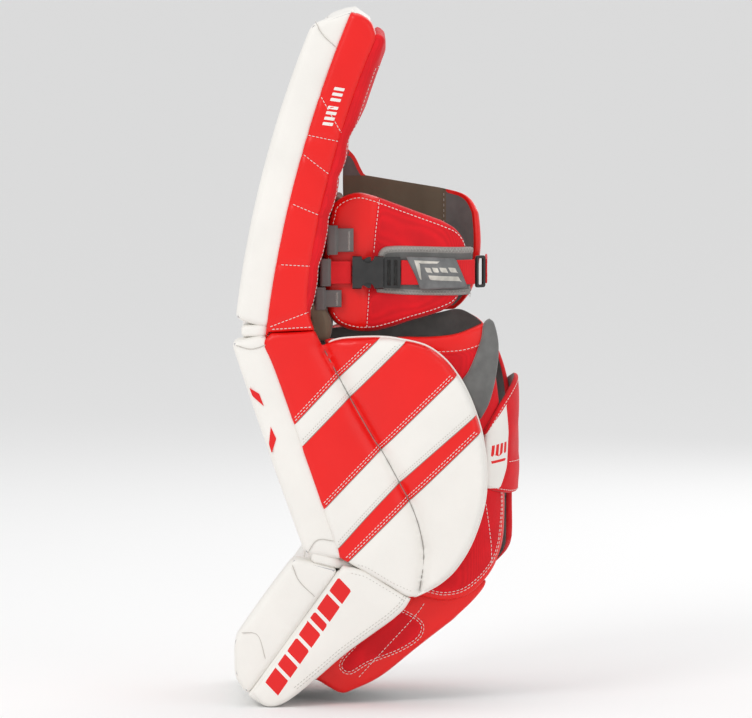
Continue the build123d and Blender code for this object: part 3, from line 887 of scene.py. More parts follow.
STRIPES = [  # lower edges of the bands down the shin's side, from the roll to the wing's rim
    [(-118, -101), (-114, -97), (-68, -48), (-22, -3), (-12, 8)],
    [(-110, -125), (-105, -120), (-55, -68), (5, -8), (14, 3)],
    [(-87, -195), (-82, -190), (-22, -127), (62, -44), (72, -34)],
    [(-71, -237), (-66, -232), (-2, -163), (82, -88), (92, -79)],
    [(-66, -256), (-60, -252), (8, -184), (86, -108), (97, -97)],
]
CREASE = [(-85, -12), (-55, -68), (-30, -112), (-18, -130), (0, -163), (12, -186),
          (22, -215), (26, -245), (21, -283)]
WING_RIM = [(-85, -12), (-70, -5.5), (-50, -3), (-20, -2.5), (0, -5), (28, -12), (48, -26),
            (62, -43), (72, -60), (82, -84), (90, -112), (94, -145), (93, -178), (86, -207),
            (75, -234), (60, -257), (45, -271), (30, -280), (15, -287)]


def valley_side(points):
    """Signed distance behind the curved valley that shows."""
    line = np.array(rounded(CREASE))
    gap = distance(points, line)
    closed = np.vstack([line, [(200, -283), (200, 60), (-85, 60)]])
    return np.where(inside(points, closed), gap, -gap)


def shin_outline():
    edge = [(-142, 2), (-149, -12), shin.point(34, -60), shin.point(34, -265)]
    foot = [edge[-1], (-40, -259), (-12, -275), (6, -286), (15, -287)]
    return loop(list(reversed(WING_RIM)), [(-85, -12), (-93, 5)], [(-93, 5), (-118, 3.5), (-142, 3)],
                edge, foot)


def shin_height(points, gap, panel):
    s = valley_side(points)
    ahead = 8.2 + 2.2 * np.exp(-(((s + 34) / 22) ** 2))
    behind = 7.5 + 12.5 * (1 - np.exp(-np.clip(s, 0, None) / 26))
    rim_fall = 4.5 * np.exp(-gap / 16.0) * (s > 0)
    base = np.where(s < 0, ahead, behind - rim_fall)
    base = base - 7.0 * np.exp(-((np.abs(s) / 8.0) ** 1.3))
    return bumped(points, gap, panel, base, 1.4, 4.5, 3.0)


def shin_depth(points, gap):
    """Depth of the panel's inner side: thick in the wing, thin on the slab."""
    depth = np.array([shin.locate(*p)[0] for p in points])
    thick = 1.5 + 16.5 * step_up((depth - shin.back - 1) / 8)
    return thick * np.sqrt(np.clip(1 - (1 - np.clip(gap / 6, 0, 1)) ** 2, 0, 1))


def across_crease(piece):
    """Bakes the piece's placement into its mesh."""
    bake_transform(piece)


def shin_side(name, side, x0, colours, replaced):
    """One side of the shin with its calf wing, in one striped cover."""
    panel = Panel(shin_outline(), out_place(x0, side), shin_height,
                  [rounded(s) for s in STRIPES] + [rounded(CREASE)], shin_depth)

    def paint(centres):
        found = np.zeros(len(centres), int)
        for line in STRIPES:
            edge = np.array(rounded(line))
            low = np.vstack([edge, [(300, 60), (300, -400), (-300, -400)]])
            found += inside(centres, low).astype(int)
        return np.array(colours)[found]

    piece = panel.mesh(f"{name}_shin_side", ["red", "white"], paint, spacing=3.6)
    across_crease(piece)
    settle(piece, None, replaced)
    return panel


outer_shin = shin_side("outer", 1, SIDE, (0, 1, 0, 1, 0, 1),
                       ["outer_calf_gusset", "outer_calf_wing"])


# ---- Boot's sides --------------------------------------------------------------------
BOOT_EDGE = [(12, -289), (5, -300), (-8, -312), (-30, -328), (-60, -350), (-90, -376),
             (-112, -394)]
BOOT_TOE = [(-112, -394), (-125, -403), (-138, -408), (-150, -406), (-163, -393)]
BOOT_ROLL = [(-163, -393), (-134, -352), (-113, -322), (-81, -276), (-62, -252)]
BOOT_TOP = [(-62, -252), (-38, -258), (-10, -275), (12, -289)]
BARS_FROM, BARS_TO = np.array([-141.5, -389.0]), np.array([-61.2, -273.8])


def boot_bars(sizes, half=10.0, skew=4.0, gap=4.0):
    """Slanted bars in a row along the boot."""
    along = BARS_TO - BARS_FROM
    room = np.linalg.norm(along)
    along /= room
    square = np.array([-along[1], along[0]])
    scale = (room - gap * (len(sizes) - 1)) / sum(sizes)
    start, bars = 0.0, []
    for size in sizes:
        end = start + size * scale
        corners = ((start, -half), (end, -half), (end + skew, half), (start + skew, half))
        bars.append([tuple(BARS_FROM + along * a + square * b) for a, b in corners])
        start = end + gap
    return bars


def boot_side(name, side, x0):
    outline = loop(BOOT_TOP, BOOT_EDGE, BOOT_TOE, BOOT_ROLL)
    bars = boot_bars((1.1, 0.8, 1.0, 1.0, 0.5, 1.1, 1.0))

    def height(points, gap, panel):
        base = 7.6 + 2.6 * np.sin(np.clip(gap / 70, 0, 1) * pi)
        return bumped(points, gap, panel, base, 1.2, 5.0, 3.0)

    def depth(points, gap):
        past = np.array([boot.locate(*p)[0] for p in points]) - boot.back
        thick = 1.2 + 22 * step_up((past - 1) / 7)
        return thick * np.sqrt(np.clip(1 - (1 - np.clip(gap / 6, 0, 1)) ** 2, 0, 1))

    seams = [[(-105, -349), (-98, -381)]] if side > 0 else []
    panel = Panel(outline, out_place(x0, side), height, seams, depth)

    def paint(centres):
        found = np.zeros(len(centres), int)
        for b in bars:
            found[inside(centres, b)] = 1
        return found

    borders = [b + [b[0]] for b in bars]
    piece = panel.mesh(f"boot_{name}_side", ["white", "print_red"], paint, borders, 3.4)
    rows = [stitched(panel, shifted(resample(BOOT_EDGE, 4), by), 4.2, 2.8, 0.35)
            for by in (-5.5, -8.5)]
    rows.append(stitched(panel, resample(BOOT_TOP, 4)[2:-2] - (0, 6.0), 4.2, 1.8, 0.35))
    stitches = build(f"boot_{name}_stitches", *joined(rows), ["pale_thread"])
    for made in (piece, stitches):
        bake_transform(made)
    settle(stitches, None)
    settle(piece, None, [f"boot_{name}_wall"])


boot_side("outer", 1, SIDE)
boot_side("inner", -1, 139.0)


# ---- Wraps round the leg -------------------------------------------------------------
def around(base, side=1, half=LEG_HALF, corner=REAR_CORNER, start=REAR_START, thick=WRAP):
    """Place for pieces that go back along the leg, round its rear corner and across."""
    bend = corner + thick
    across = 2 * (half - corner)

    def place(u, v, h):
        out = base + h
        if u <= start:
            return (side * (half + out), u, v)
        angle = (u - start) / bend
        if angle <= pi / 2:
            reach = corner + out
            return (side * (half - corner + reach * cos(angle)), start + reach * sin(angle), v)
        past = (angle - pi / 2) * bend
        if past <= across:
            return (side * (half - corner - past), start + corner + out, v)
        angle = pi / 2 - (past - across) / bend
        reach = corner + out
        if angle >= 0:
            return (side * (corner - half - reach * cos(angle)), start + reach * sin(angle), v)
        return (side * (-half - out), start + angle * bend, v)

    return place


def path_u(y, corner=REAR_CORNER, start=REAR_START, thick=WRAP):
    """Distance along a wrap at a side-view y, on its outer face."""
    bend = corner + thick
    return y if y <= start else start + bend * asin(min(1.0, (y - start) / bend))


def knee_u(y):
    return path_u(y, KNEE_CORNER, KNEE_START, KNEE_WING)


def flat_under(points, gap):
    return np.zeros(len(points)) + 0.3 * np.clip(gap / 3, 0, 1)


def calf_wrap(name, side, outline, colours, borders=(), seams=(), rows=()):
    def height(points, gap, panel):
        base = 6.2 + 1.4 * np.sin(np.clip(gap / 60, 0, 1) * pi)
        wave = np.array([noise.noise(Vector((p[0], p[1], side * 40)) * 0.022) for p in points])
        return bumped(points, gap, panel, base + 1.1 * wave * np.clip(gap / 15, 0, 1), 1.3, 3.6, 2.6)

    panel = Panel(outline, around(0, side), height, seams, flat_under)
    piece = panel.mesh(f"{name}_calf_wrap_cloth", ["red", "nylon"], colours, borders, 4.2, "lining")
    settle(piece, "shin", [f"{name}_calf_wrap"])
    made = [stitched(panel, row, 4.6, 3.2, 0.4) for row in rows]
    if made:
        thread(f"{name}_wrap_stitches", made, "shin")
    return panel


def in_path(line, along=path_u):
    return [(along(y), z) for y, z in line]


WRAP_TOP = in_path([(-84, -5), (-50, -7), (0, -4), (30, -4), (60, -1), (85, 7), (95, 11)])
WRAP_REAR = [WRAP_TOP[-1], (104, -4), (114, -50), (124, -105), (130.1, -160), (130.1, -205),
             (126, -232), (112, -257)]
WRAP_FOOT = [WRAP_REAR[-1], (100, -270), (76, -288), (50, -294), (30, -291), (12, -286)]
WRAP_FRONT = [WRAP_FOOT[-1], (0, -262), (-42, -130), (-84, -5)]
BAND = in_path([(-80, -27), (0, -24), (45, -22), (70, -20), (90, -14), (103, -8)])
HEM = [(16, -279), (32, -283), (50, -286), (73, -280), (100, -258), (114, -236), (120, -205),
       (121, -178), (118, -120)]


def outer_wrap_paint(centres):
    band = np.vstack([rounded(BAND), [(160, 40), (-120, 40)]])
    hem = np.vstack([rounded(HEM), [(200, -120), (200, -400), (16, -400)]])
    return np.where(inside(centres, band) | inside(centres, hem), 0, 1)


def doubled(line, by=2.6):
    line = np.array(rounded(line))
    return [shifted(line, by / 2), shifted(line, -by / 2)]


calf_wrap("outer", 1, loop(WRAP_TOP, WRAP_REAR, WRAP_FOOT, WRAP_FRONT), outer_wrap_paint,
          [rounded(BAND), rounded(HEM)], [rounded(BAND)],
          [*doubled(HEM), shifted(rounded(BAND), 1.8), [(94, -178), (99, -205), (104, -236), (105, -256)],
           [(90, -143), (132, -143)]])
INNER_TOP = in_path([(-84, -5), (-50, -2), (0, 3), (40, 12), (66, 17), (85, 10), (94, 4)])
INNER_REAR = [INNER_TOP[-1], (128, -36), (158, -90), (171, -150), (171, -212), (162, -236)]
INNER_FOOT = [INNER_REAR[-1], (128, -258), (84, -284), (50, -292), (12, -286)]
INNER_BAND = in_path([(-80, -20), (0, -12), (40, -3), (66, 2), (85, -5), (94, -12)])


def inner_wrap_paint(centres):
    band = np.vstack([rounded(INNER_BAND), [(260, -30), (260, 60), (-120, 60)]])
    return np.where(inside(centres, band), 0, 1)


calf_wrap("inner", -1, loop(INNER_TOP, INNER_REAR, INNER_FOOT, WRAP_FRONT), inner_wrap_paint,
          [rounded(INNER_BAND)], [rounded(INNER_BAND)],
          [shifted(rounded(INNER_BAND), 1.8)])


def boot_wrap(name, side):
    """The lower wrap, from under the calf wrap's hem down to the toe."""
    top = [(-10, -290), (12, -282), (50, -278), (84, -276), (103, -272)]
    rear = [(103, -272), (99, -282), (86, -295), (60, -315), (20, -346), (-20, -378), (-50, -393),
            (-65, -397), (-84, -387)]
    front = [(-84, -387), (-100, -372), (-60, -335), (-10, -290)]
    pocket = [(2, -305), (18, -314), (25, -323), (20, -336), (0, -349), (-35, -363), (-54, -374),
              (-64, -370), (-63, -360), (-48, -343)]
    slit = [(27, -297), (16, -312), (-17, -348), (-47, -381)]

    def height(points, gap, panel):
        base = 6.6 + 2.2 * np.sin(np.clip(gap / 45, 0, 1) * pi)
        wave = np.array([noise.noise(Vector((p[0], p[1], 9)) * 0.025) for p in points])
        return bumped(points, gap, panel, base + 1.3 * wave * np.clip(gap / 12, 0, 1), 1.3, 3.6, 2.8)

    panel = Panel(loop(in_path(top), in_path(rear), in_path(front)), around(-8.5, side),
                  height, [rounded(pocket)], flat_under)
    closed = rounded(pocket) + [pocket[0]]
    piece = panel.mesh(f"boot_{name}_wrap_cloth", ["red", "nylon"],
                       lambda c: inside(c, closed).astype(int), (), 4.0, "lining")
    rows = [stitched(panel, r, 4.6, 3.2, 0.4) for r in (*doubled(pocket), rounded(slit))]
    stitches = build(f"boot_{name}_wrap_stitches", *joined(rows), ["thread"])
    for made in (piece, stitches):
        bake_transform(made)
    settle(piece, None, [f"boot_{name}_wrap"])
    settle(stitches, None)


boot_wrap("outer", 1)
boot_wrap("inner", -1)


# ---- Calf strap panel and pull tab ---------------------------------------------------
def strap_panel():
    top = [(92.5, -108), (104, -92), (118, -76), (138, -60), (163, -50), (195, -50), (222, -56),
           (236, -66)]
    low = [(236, -168), (222, -176), (195, -178), (163, -178), (130, -178), (98, -172), (93, -166)]
    patch = [(90, -116), (104, -98), (122, -80), (125, -112), (121, -148), (112, -171), (90, -171)]
    bars = [[(100 + i * 5.6, -124 + i), (103.8 + i * 5.6, -123.4 + i), (102.4 + i * 5.6, -136 + i),
             (98.6 + i * 5.6, -136.6 + i)] for i in range(4)]
    bars.append([(99, -141), (119, -138), (118.6, -141), (99.4, -144)])

    def height(points, gap, panel):
        base = 4.4 + 1.8 * np.sin(np.clip(gap / 50, 0, 1) * pi)
        wave = np.array([noise.noise(Vector((p[0], p[1], 21)) * 0.03) for p in points])
        return bumped(points, gap, panel, base + 0.9 * wave * np.clip(gap / 9, 0, 1), 0.7, 3.0, 2.2)

    outline = loop(top, [top[-1], low[0]], low, [low[-1], top[0]])
    panel = Panel(outline, around(8.0), height, [patch + [patch[0]]], flat_under)

    def paint(centres):
        found = np.where(inside(centres, patch), 1, 0)
        for b in bars:
            found[inside(centres, b)] = 2
        return found

    borders = [b + [b[0]] for b in bars]
    piece = panel.mesh("calf_strap_panel_cover", ["nylon", "white", "print_red"], paint, borders,
                       3.6, "lining")
    settle(piece, "calf_strap", ["calf_strap_panel"])
    edge = shifted(rounded(low), -3.0)
    hems = (edge, shifted(rounded(top), -3.0), [(124, -143), (226, -143)])
    rows = [stitched(panel, hem, 4.6, 3.2, 0.38) for hem in hems]
    thread("calf_strap_stitches", rows, "calf_strap")


strap_panel()


def pull_tab():
    side_view = [(66, -53), (76, -39), (88, -8), (91, 10), (97, 16), (102, 10), (107, -14),
                 (105, -42), (97, -76), (87, -96), (76, -74)]
    outline = loop(in_path(side_view[:5]), in_path(side_view[4:10]), in_path(side_view[9:] + side_view[:1]))

    def height(points, gap, panel):
        return bumped(points, gap, panel, 3.2 + 0.6 * np.sin(points[:, 1] / 15), 0.5, 2.4, 2.0)

    panel = Panel(outline, around(7.6), height, (), flat_under)
    piece = panel.mesh("pull_tab_cover", ["suede"], None, (), 3.4)
    settle(piece, "shin", ["wrap_pull_tab"])


pull_tab()


# ---- Knee wings ----------------------------------------------------------------------
def knee_place(base, side=1):
    return around(base, side, KNEE_HALF, KNEE_CORNER, KNEE_START, KNEE_WING)


def knee_side(line):
    return in_path(line, knee_u)


def far_side(line):
    return in_path(line, lambda y: path_u(y, 50.0, 42.0, KNEE_WING))


def wing_height(full, groove=1.6):
    def height(points, gap, panel):
        swell = full * (0.78 + 0.22 * np.sin(np.clip(gap / 55, 0, 1) * pi))
        wave = np.array([noise.noise(Vector((p[0], p[1], 5)) * 0.03) for p in points])
        return bumped(points, gap, panel, swell + 0.8 * wave * np.clip(gap / 14, 0, 1), groove, 6.5, 3.4)

    return height


def knee_wings():
    edge = [(-83, 40), (-84, 75), (-81, 108), (-77, 125), (-73, 140), (-60, 149.5), (-45, 153),
            (-30, 150), (-10, 143), (20, 132), (50, 121), (64, 114), (72, 104), (75.5, 94)]
    rear = [(75.5, 94), (72, 66), (68, 40)]
    foot = [(68, 40), (60, 30), (40, 21), (10, 12), (-10, 5.5), (-30, 1), (-50, 1.5), (-68, 8),
            (-78, 20), (-83, 40)]
    seams = [knee_side(s) for s in ([(-24, 146), (-28, 112), (-30.5, 84)], [(-31, 84), (-35, 48)],
                                    [(-35, 48), (-38, 4)])]
    outline = loop(knee_side(edge), knee_side(rear), knee_side(foot))
    panel = Panel(outline, knee_place(0), wing_height(14.5), seams, flat_under)
    split = np.vstack([[(-24, 200)], *[np.array(s) for s in seams], [(-38, -40), (-200, -40), (-200, 200)]])
    piece = panel.mesh("outer_knee_wing_cover", ["red", "nylon"],
                       lambda c: np.where(inside(c, split), 0, 1), (), 3.6, "lining")
    settle(piece, "outer_knee_flap", ["outer_knee_wing"])
    rows = [stitched(panel, shifted(rounded(knee_side(edge)[1:]), -5.2), 4.4, 3.0, 0.42),
            stitched(panel, shifted(rounded(knee_side(foot)[:-1]), -5.2), 4.4, 3.0, 0.42),
            stitched(panel, shifted(seams[0], 1.6), 4.4, 3.0, 0.42),
            stitched(panel, shifted(seams[2], 1.6), 4.4, 3.0, 0.42)]
    thread("outer_knee_stitches", rows, "outer_knee_flap")

    # The inner wing stands taller: olive cloth forward of a hem, then grey with a red rim.
    front = [(-58, 60), (-62, 120), (-63, 170), (-60.5, 199)]
    peak = [(-60.5, 199), (-50, 188), (-43, 174), (-39, 167)]
    top = [(-39, 167), (0, 160.5), (40, 154), (58, 151), (75, 147), (85, 140), (92, 127)]
    back = [(92, 127), (94, 105), (94, 85), (91, 60), (85, 40), (75, 26), (65, 18)]
    low = [(65, 18), (20, 16), (-30, 15), (-55, 20), (-58, 60)]
    ring = loop(far_side(front), far_side(peak), far_side(top), far_side(back), far_side(low))
    hem = [(54, 200), (54, -10)]
    inner = Panel(ring, around(0, -1, KNEE_HALF, 50.0, 42.0, KNEE_WING), wing_height(12.5),
                  [hem], flat_under)

    def paint(centres):
        rim = distance(centres, inner.ring) < 4.0
        cloth = (centres[:, 0] < 54) & (centres[:, 1] < 166.5)
        rim &= (centres[:, 0] > 54) | (centres[:, 0] > -57)
        return np.where(cloth, 0, np.where(rim, 1, 2))

    borders = [inner_rim(inner, 4.0, lambda u, v: u > 54),
               inner_rim(inner, 4.0, lambda u, v: (v > 168) & (u > -57) & (u < -36)),
               [(-62, 166.5), (-39, 166.5)]]
    piece = inner.mesh("inner_knee_wing_cover", ["olive", "red", "lining"], paint, borders, 3.6)
    settle(piece, "inner_knee_flap", ["inner_knee_wing"])
    row = [(51, z) for z in range(24, 152, 3)]
    surface = [Vector(inner.place(u, v, -0.3)) for u, v in row]
    dashes = [tube([surface[i], surface[i + 1]], 0.45, 5) for i in range(0, len(surface) - 1, 2)]
    thread("inner_knee_stitches", dashes + [stitched(inner, [(50, 24), (50, 150)])], "inner_knee_flap")


def inner_rim(panel, by, where):
    """A line inside the rim, over the stretch that where picks."""
    line = panel.inset(by)
    line = line[where(line[:, 0], line[:, 1])]
    start = int(np.argmax(np.linalg.norm(np.diff(line, axis=0), axis=1))) + 1
    jump = np.linalg.norm(np.diff(line, axis=0), axis=1).max() > 15
    return np.roll(line, -start, axis=0) if jump else line


knee_wings()


def backing():
    """Grey suede under the strap, bound above and below with zigzag stitching."""
    top = [(-26, 78), (-22, 90), (-12, 95), (20, 95.5), (78, 93.5)]
    rear = [(78, 93.5), (77, 68), (75, 44)]
    low = [(75, 44), (72, 41), (12, 41), (-26, 44)]
    outline = loop(knee_side(top), knee_side(rear), knee_side(low), knee_side([(-26, 44), (-26, 78)]))
    place = knee_place(12.6)

    def paint(centres):
        upper = distance(centres, rounded(knee_side(top))) < 7.2
        lower = distance(centres, rounded(knee_side(low))) < 6.4
        return np.where(upper | lower, 1, 0)

    borders = [shifted(rounded(knee_side(top)), -7.2)[2:-2], shifted(rounded(knee_side(low)), -6.4)[2:-2]]

    def height(points, gap, panel):
        band = np.minimum(distance(points, rounded(knee_side(top))) / 7.2,
                          distance(points, rounded(knee_side(low))) / 6.4)
        round_off = 3.0 * np.sqrt(np.clip(gap / 1.6, 0, 1))
        return round_off + 1.5 * np.sqrt(np.clip(1 - (2 * band - 1) ** 2, 0, 1))

    panel = Panel(outline, place, height, (), flat_under)
    piece = panel.mesh("strap_backing_cover", ["suede", "binding"], paint, borders, 2.6)
    settle(piece, "outer_knee_flap", ["strap_backing"])
    rows = []
    for line, by in ((top, -3.6), (low, -3.2)):
        middle = resample(list(map(tuple, shifted(rounded(knee_side(line)), by))), 1.7)[1:-1]
        along = np.gradient(middle, axis=0)
        along /= np.linalg.norm(along, axis=1)[:, None]
        sway = np.where(np.arange(len(middle)) % 2, 1.9, -1.9)[:, None]
        zig = middle + np.stack([-along[:, 1], along[:, 0]], axis=1) * sway
        rows.append(tube(panel.follow(zig, 0.15), 0.28, 5))
    thread("strap_backing_zigzag", rows, "outer_knee_flap", "pale_thread")


backing()


# ---- Webbing, sleeve and tabs --------------------------------------------------------
def ribbon(name, path, low, high, thick, colour, body, replaced, closed=False):
    """Flat webbing along a plan path, standing between two heights, its edges rounded."""
    path = resample([tuple(p) for p in path], 1.6, closed)
    if closed:
        around_it = np.roll(path, -1, axis=0) - np.roll(path, 1, axis=0)
    else:
        around_it = np.gradient(path, axis=0)
    around_it /= np.linalg.norm(around_it, axis=1)[:, None]
    square = np.stack([-around_it[:, 1], around_it[:, 0]], axis=1)
    half = thick / 2
    rim = [(half * cos(a), low + half * 0.9 - half * 0.9 * sin(a)) for a in np.linspace(0, pi, 7)]
    rise = np.linspace(low, high, 9)[1:-1]
    flat = [half * (1.0 + 0.16 * (abs(2 * i / 6 - 1) > 0.8)) for i in range(len(rise))]
    profile = rim + [(-off, z) for off, z in zip(flat, rise)]
    profile += [(-half * cos(a), high - half * 0.9 + half * 0.9 * sin(a)) for a in np.linspace(0, pi, 7)]
    profile += [(off, z) for off, z in zip(flat, rise[::-1])]
    n, vertices, faces = len(profile), [], []
    for (x, y), (sx, sy) in zip(path, square):
        vertices += [(x + sx * off, y + sy * off, z) for off, z in profile]
    count = len(path)
    for i in range(count if closed else count - 1):
        a, b = i * n, (i + 1) % count * n
        faces += [(a + k, a + (k + 1) % n, b + (k + 1) % n, b + k) for k in range(n)]
    if not closed:
        faces += [tuple(range(n)), tuple((count - 1) * n + k for k in reversed(range(n)))]
    piece = build(name, vertices, faces, [colour])
    face_out(piece)
    return settle(piece, body, replaced)


def box_ring(node, thick):
    """Plan of a belt loop that fills a node's box."""
    (x0, y0, _), (x1, y1, _) = node_box(node)
    h, r = thick / 2, 1.9
    x0, x1, y0, y1 = x0 + h, x1 - h, y0 + h, y1 - h
    points = []
    for cx, cy, start in ((x1 - r, y0 + r, -90), (x1 - r, y1 - r, 0), (x0 + r, y1 - r, 90),
                          (x0 + r, y0 + r, 180)):
        points += [(cx + r * cos(radians(start + a)), cy + r * sin(radians(start + a)))
                   for a in (0, 30, 60, 90)]
    return points


def bar_tack(x, y, low, high):
    """A dense row of short stitches across webbing."""
    parts = []
    for i in range(int((high - low) / 1.3)):
        z = low + 1.3 * i
        parts.append(tube([(x, y - 1.3, z), (x + 0.25, y, z + 0.3), (x, y + 1.3, z + 0.6)], 0.3, 5))
    return parts


def straps():
    for where in ("upper", "middle", "lower"):
        node = f"strap_loop_{where}"
        low, high = node_box(node)
        ribbon(f"{node}_webbing", box_ring(node, 1.8), low[2], high[2], 1.8, "webbing",
               "outer_knee_flap", [node], closed=True)
    tacks = []
    for where in ("upper", "lower"):
        node = f"anchor_tab_{where}"
        low, high = node_box(node)
        x = (low[0] + high[0]) / 2
        ribbon(f"{node}_webbing", [(x, low[1]), (x + 0.2, low[1] + 12), (x, high[1])], low[2],
               high[2], 2.0, "webbing", "outer_knee_flap", [node])
        tacks += bar_tack(x + 1.05, high[1] - 5, low[2] + 2, high[2] - 2)
    thread("anchor_tab_tacks", tacks, "outer_knee_flap", "pale_thread")
    low, high = node_box("buckle_strap")
    x = (low[0] + high[0]) / 2
    ribbon("buckle_strap_webbing", [(x, low[1]), (x, high[1])], low[2], high[2], 2.3,
           "red_webbing", "outer_knee_flap", ["buckle_strap"])
    low, high = node_box("knee_strap")
    at = knee_place(0)
    off = 80.0 - KNEE_HALF
    turn = np.linspace(8, KNEE_START + 42 * radians(42), 26)
    run = [(80.0, low[1])] + [at(u, 0, off)[:2] for u in turn]
    end = (low[0] + 0.9, high[1] - 0.8)
    ribbon("knee_strap_webbing", run + [end], low[2], high[2], 2.4, "red_webbing", "strap",
           ["knee_strap"])
    low, high = node_box("ring_tab")
    ends = [(high[0] - 1.0, low[1] + 1.2), (20, 94.6), (-10, 95.6), (low[0] + 0.5, high[1] - 1.2)]
    ribbon("ring_tab_webbing", rounded(ends), low[2], high[2], 2.3, "red_webbing",
           "inner_knee_flap", ["ring_tab"])


straps()


def sleeve():
    """The rubber sleeve over the strap, with a printed arrow and bars."""
    outline = loop([(6, 84), (33, 83.4), (58, 82)], [(58, 82), (70, 49.5)],
                   [(70, 49.5), (46, 48.5), (22, 47.5)], [(22, 47.5), (17, 62), (6, 84)])
    arrow = [(15.5, 80), (43, 78.6), (41, 76.4), (21.5, 76.6), (23.6, 58), (21.6, 60)]
    bars = [[(27 + i * 8, 72), (33 + i * 8, 71.6), (35 + i * 8, 66.4), (29 + i * 8, 66.8)]
            for i in range(4)]
    bars += [[(31, 63.5), (60, 62), (62, 57), (33, 58.5)]]

    def height(points, gap, panel):
        printed = np.zeros(len(points))
        for shape in (arrow, *bars):
            printed += 0.25 * inside(points, shape)
        return 1.7 * np.sqrt(np.clip(1 - (1 - np.clip(gap / 1.5, 0, 1)) ** 2, 0, 1)) + printed

    panel = Panel(outline, knee_place(22.4), height, (), lambda p, g: 4.8 * np.clip(g / 0.8, 0, 1))

    def paint(centres):
        found = np.zeros(len(centres), int)
        for shape in (arrow, *bars):
            found[inside(centres, shape)] = 1
        return found

    piece = panel.mesh("strap_sleeve_cover", ["label", "label_print"], paint,
                       [s + [s[0]] for s in (arrow, *bars)], 2.2)
    settle(piece, "strap", ["strap_sleeve"])


sleeve()


# ---- Inside: block, cradle and linings -----------------------------------------------
def inner_pieces():
    low, high = node_box("knee_block_cover")
    size = tuple(high - low)
    piece = padded_box("knee_block", size, 6.5, (3.0, 2.5, 2.5),
                       lambda x, y, z: (low[0] + x, low[1] + y, low[2] + z), ["red"], spacing=6)
    inflate(piece, lambda p: min(p[0] - low[0], high[0] - p[0]) < 2.5, 5.0, 4.5)
    settle(piece, "inner_knee_flap", ["knee_block_cover"])
    seam = []
    for x in (low[0] + 0.8, high[0] - 0.8):
        ring = []
        for cy, cz, start in ((high[1] - 6, high[2] - 6, 0), (low[1] + 6, high[2] - 6, 90),
                              (low[1] + 6, low[2] + 6, 180), (high[1] - 6, low[2] + 6, 270)):
            ring += [(x, cy + 5.4 * cos(radians(start + a)), cz + 5.4 * sin(radians(start + a)))
                     for a in range(0, 91, 15)]
        seam.append(tube([tuple(p) for p in resample(ring, 3, True)], 1.5, 8, closed=True))
    settle(build("knee_block_piping", *joined(seam), ["nylon"]), "inner_knee_flap")

    def liner(name, section, near, thick, low_at, high_at, half, colour, body, node, quilts):
        length = high_at - low_at

        def place(d, w, h):
            height = low_at + h
            pinch = sum(np.exp(-(((height - q) / 6) ** 2)) for q in quilts)
            lift = -2.2 * min(1.0, pinch) * d / thick
            return (w - half, *section.point(near + d + lift, height))

        box = padded_box(name, (thick, 2 * half, length), min(4.5, thick / 2 - 0.5), (1.6, 0.5, 0.5),
                         place, [colour], spacing=7)

        def pinned(p):
            depth, height = section.locate(p[1], p[2])
            return depth < near + thick / 2 or min(abs(height - q) for q in quilts) < 3.5

        inflate(box, pinned, 3.0)
        settle(box, body, [node])
        rows = []
        for q in quilts:
            parts = []
            for i in range(int(2 * half / 4.6) - 3):
                x = -half + 7 + 4.6 * i
                ends = [(x + k, *section.point(near + thick - 1.35, q)) for k in (0, 3.1)]
                parts.append(tube(ends, 0.4, 5))
            rows.append(joined(parts))
        thread(f"{name}_stitches", rows, body, "pale_thread")

    liner("cradle_pad", thigh, thigh.back + 8, 12, 27, 160, KNEE_HALF - 1, "olive", "thigh",
          "knee_cradle", (72, 116))
    liner("calf_pad", shin, shin.back, 9, -250, -28, LEG_HALF - 1, "lining", "shin",
          "calf_lining", (-84, -140, -196))
    liner("boot_pad", boot, boot.back, 8, -122, 6, LEG_HALF - 0.5, "lining", "boot",
          "boot_liner", (-40, -80))


inner_pieces()


# ---- Stitching on the shin's outer side, piping round the wing -----------------------
def shin_trim(panel, name):
    rows, pale = [], []
    for i in (0, 2, 4):
        line = resample(list(map(tuple, rounded(STRIPES[i]))), 2)
        for by in (2.6, 5.4):
            rows.append(stitched_inside(panel, shifted(line, by)))
    for i in (1, 3):
        line = resample(list(map(tuple, rounded(STRIPES[i]))), 2)
        for by in (2.4, 5.0):
            pale.append(stitched_inside(panel, shifted(line, by), 3.2, 1.6, 0.33))
    # Dark tubes along the stripe borders and the crease are painted shade in their grooves; the crease's
    # tube is lifted to show.
    seams = []
    for line in [*STRIPES, CREASE]:
        line = resample(rounded(line), 3)
        line = line[inside(line, panel.outline) & (distance(line, panel.ring) > 1.5)]
        lift = 1.5 if len(seams) == len(STRIPES) else 0.2
        seams.append(tube(panel.follow(line, lift), 0.42, 5))
    piece = build(f"{name}_shin_seam_shade", *joined(seams), ["dark_seam"])
    across_crease(piece)
    settle(piece, None)
    seam = resample([(-60, -252), (-38, -258), (-10, -275), (14, -286)], 3)
    pale.append(stitched_inside(panel, shifted(seam, 4.5), 4.0, 1.6, 0.36))
    for label, made, colour in (("stitches", rows, "thread"), ("seam_dots", pale, "pale_thread")):
        vertices, faces = joined(made)
        piece = build(f"{name}_shin_{label}", vertices, faces, [colour])
        across_crease(piece)
        settle(piece, None)
    rim = resample(rounded(WING_RIM)[4:], 3)
    cord = [panel.place(u, v, -0.8) for u, v in rim]
    piece = build(f"{name}_wing_piping", *tube(cord, 1.5, 8), ["white"])
    across_crease(piece)
    settle(piece, None)


def stitched_inside(panel, line, pitch=4.4, length=3.0, radius=0.42):
    keep = inside(line, panel.outline) & (distance(line, panel.ring) > 3.0)
    return stitched(panel, line[keep], pitch, length, radius)


shin_trim(outer_shin, "outer")
inner_shin = shin_side("inner", -1, 142.0, (0, 1, 0, 1, 0, 1),
                       ["inner_calf_gusset", "inner_calf_wing"])
shin_trim(inner_shin, "inner")


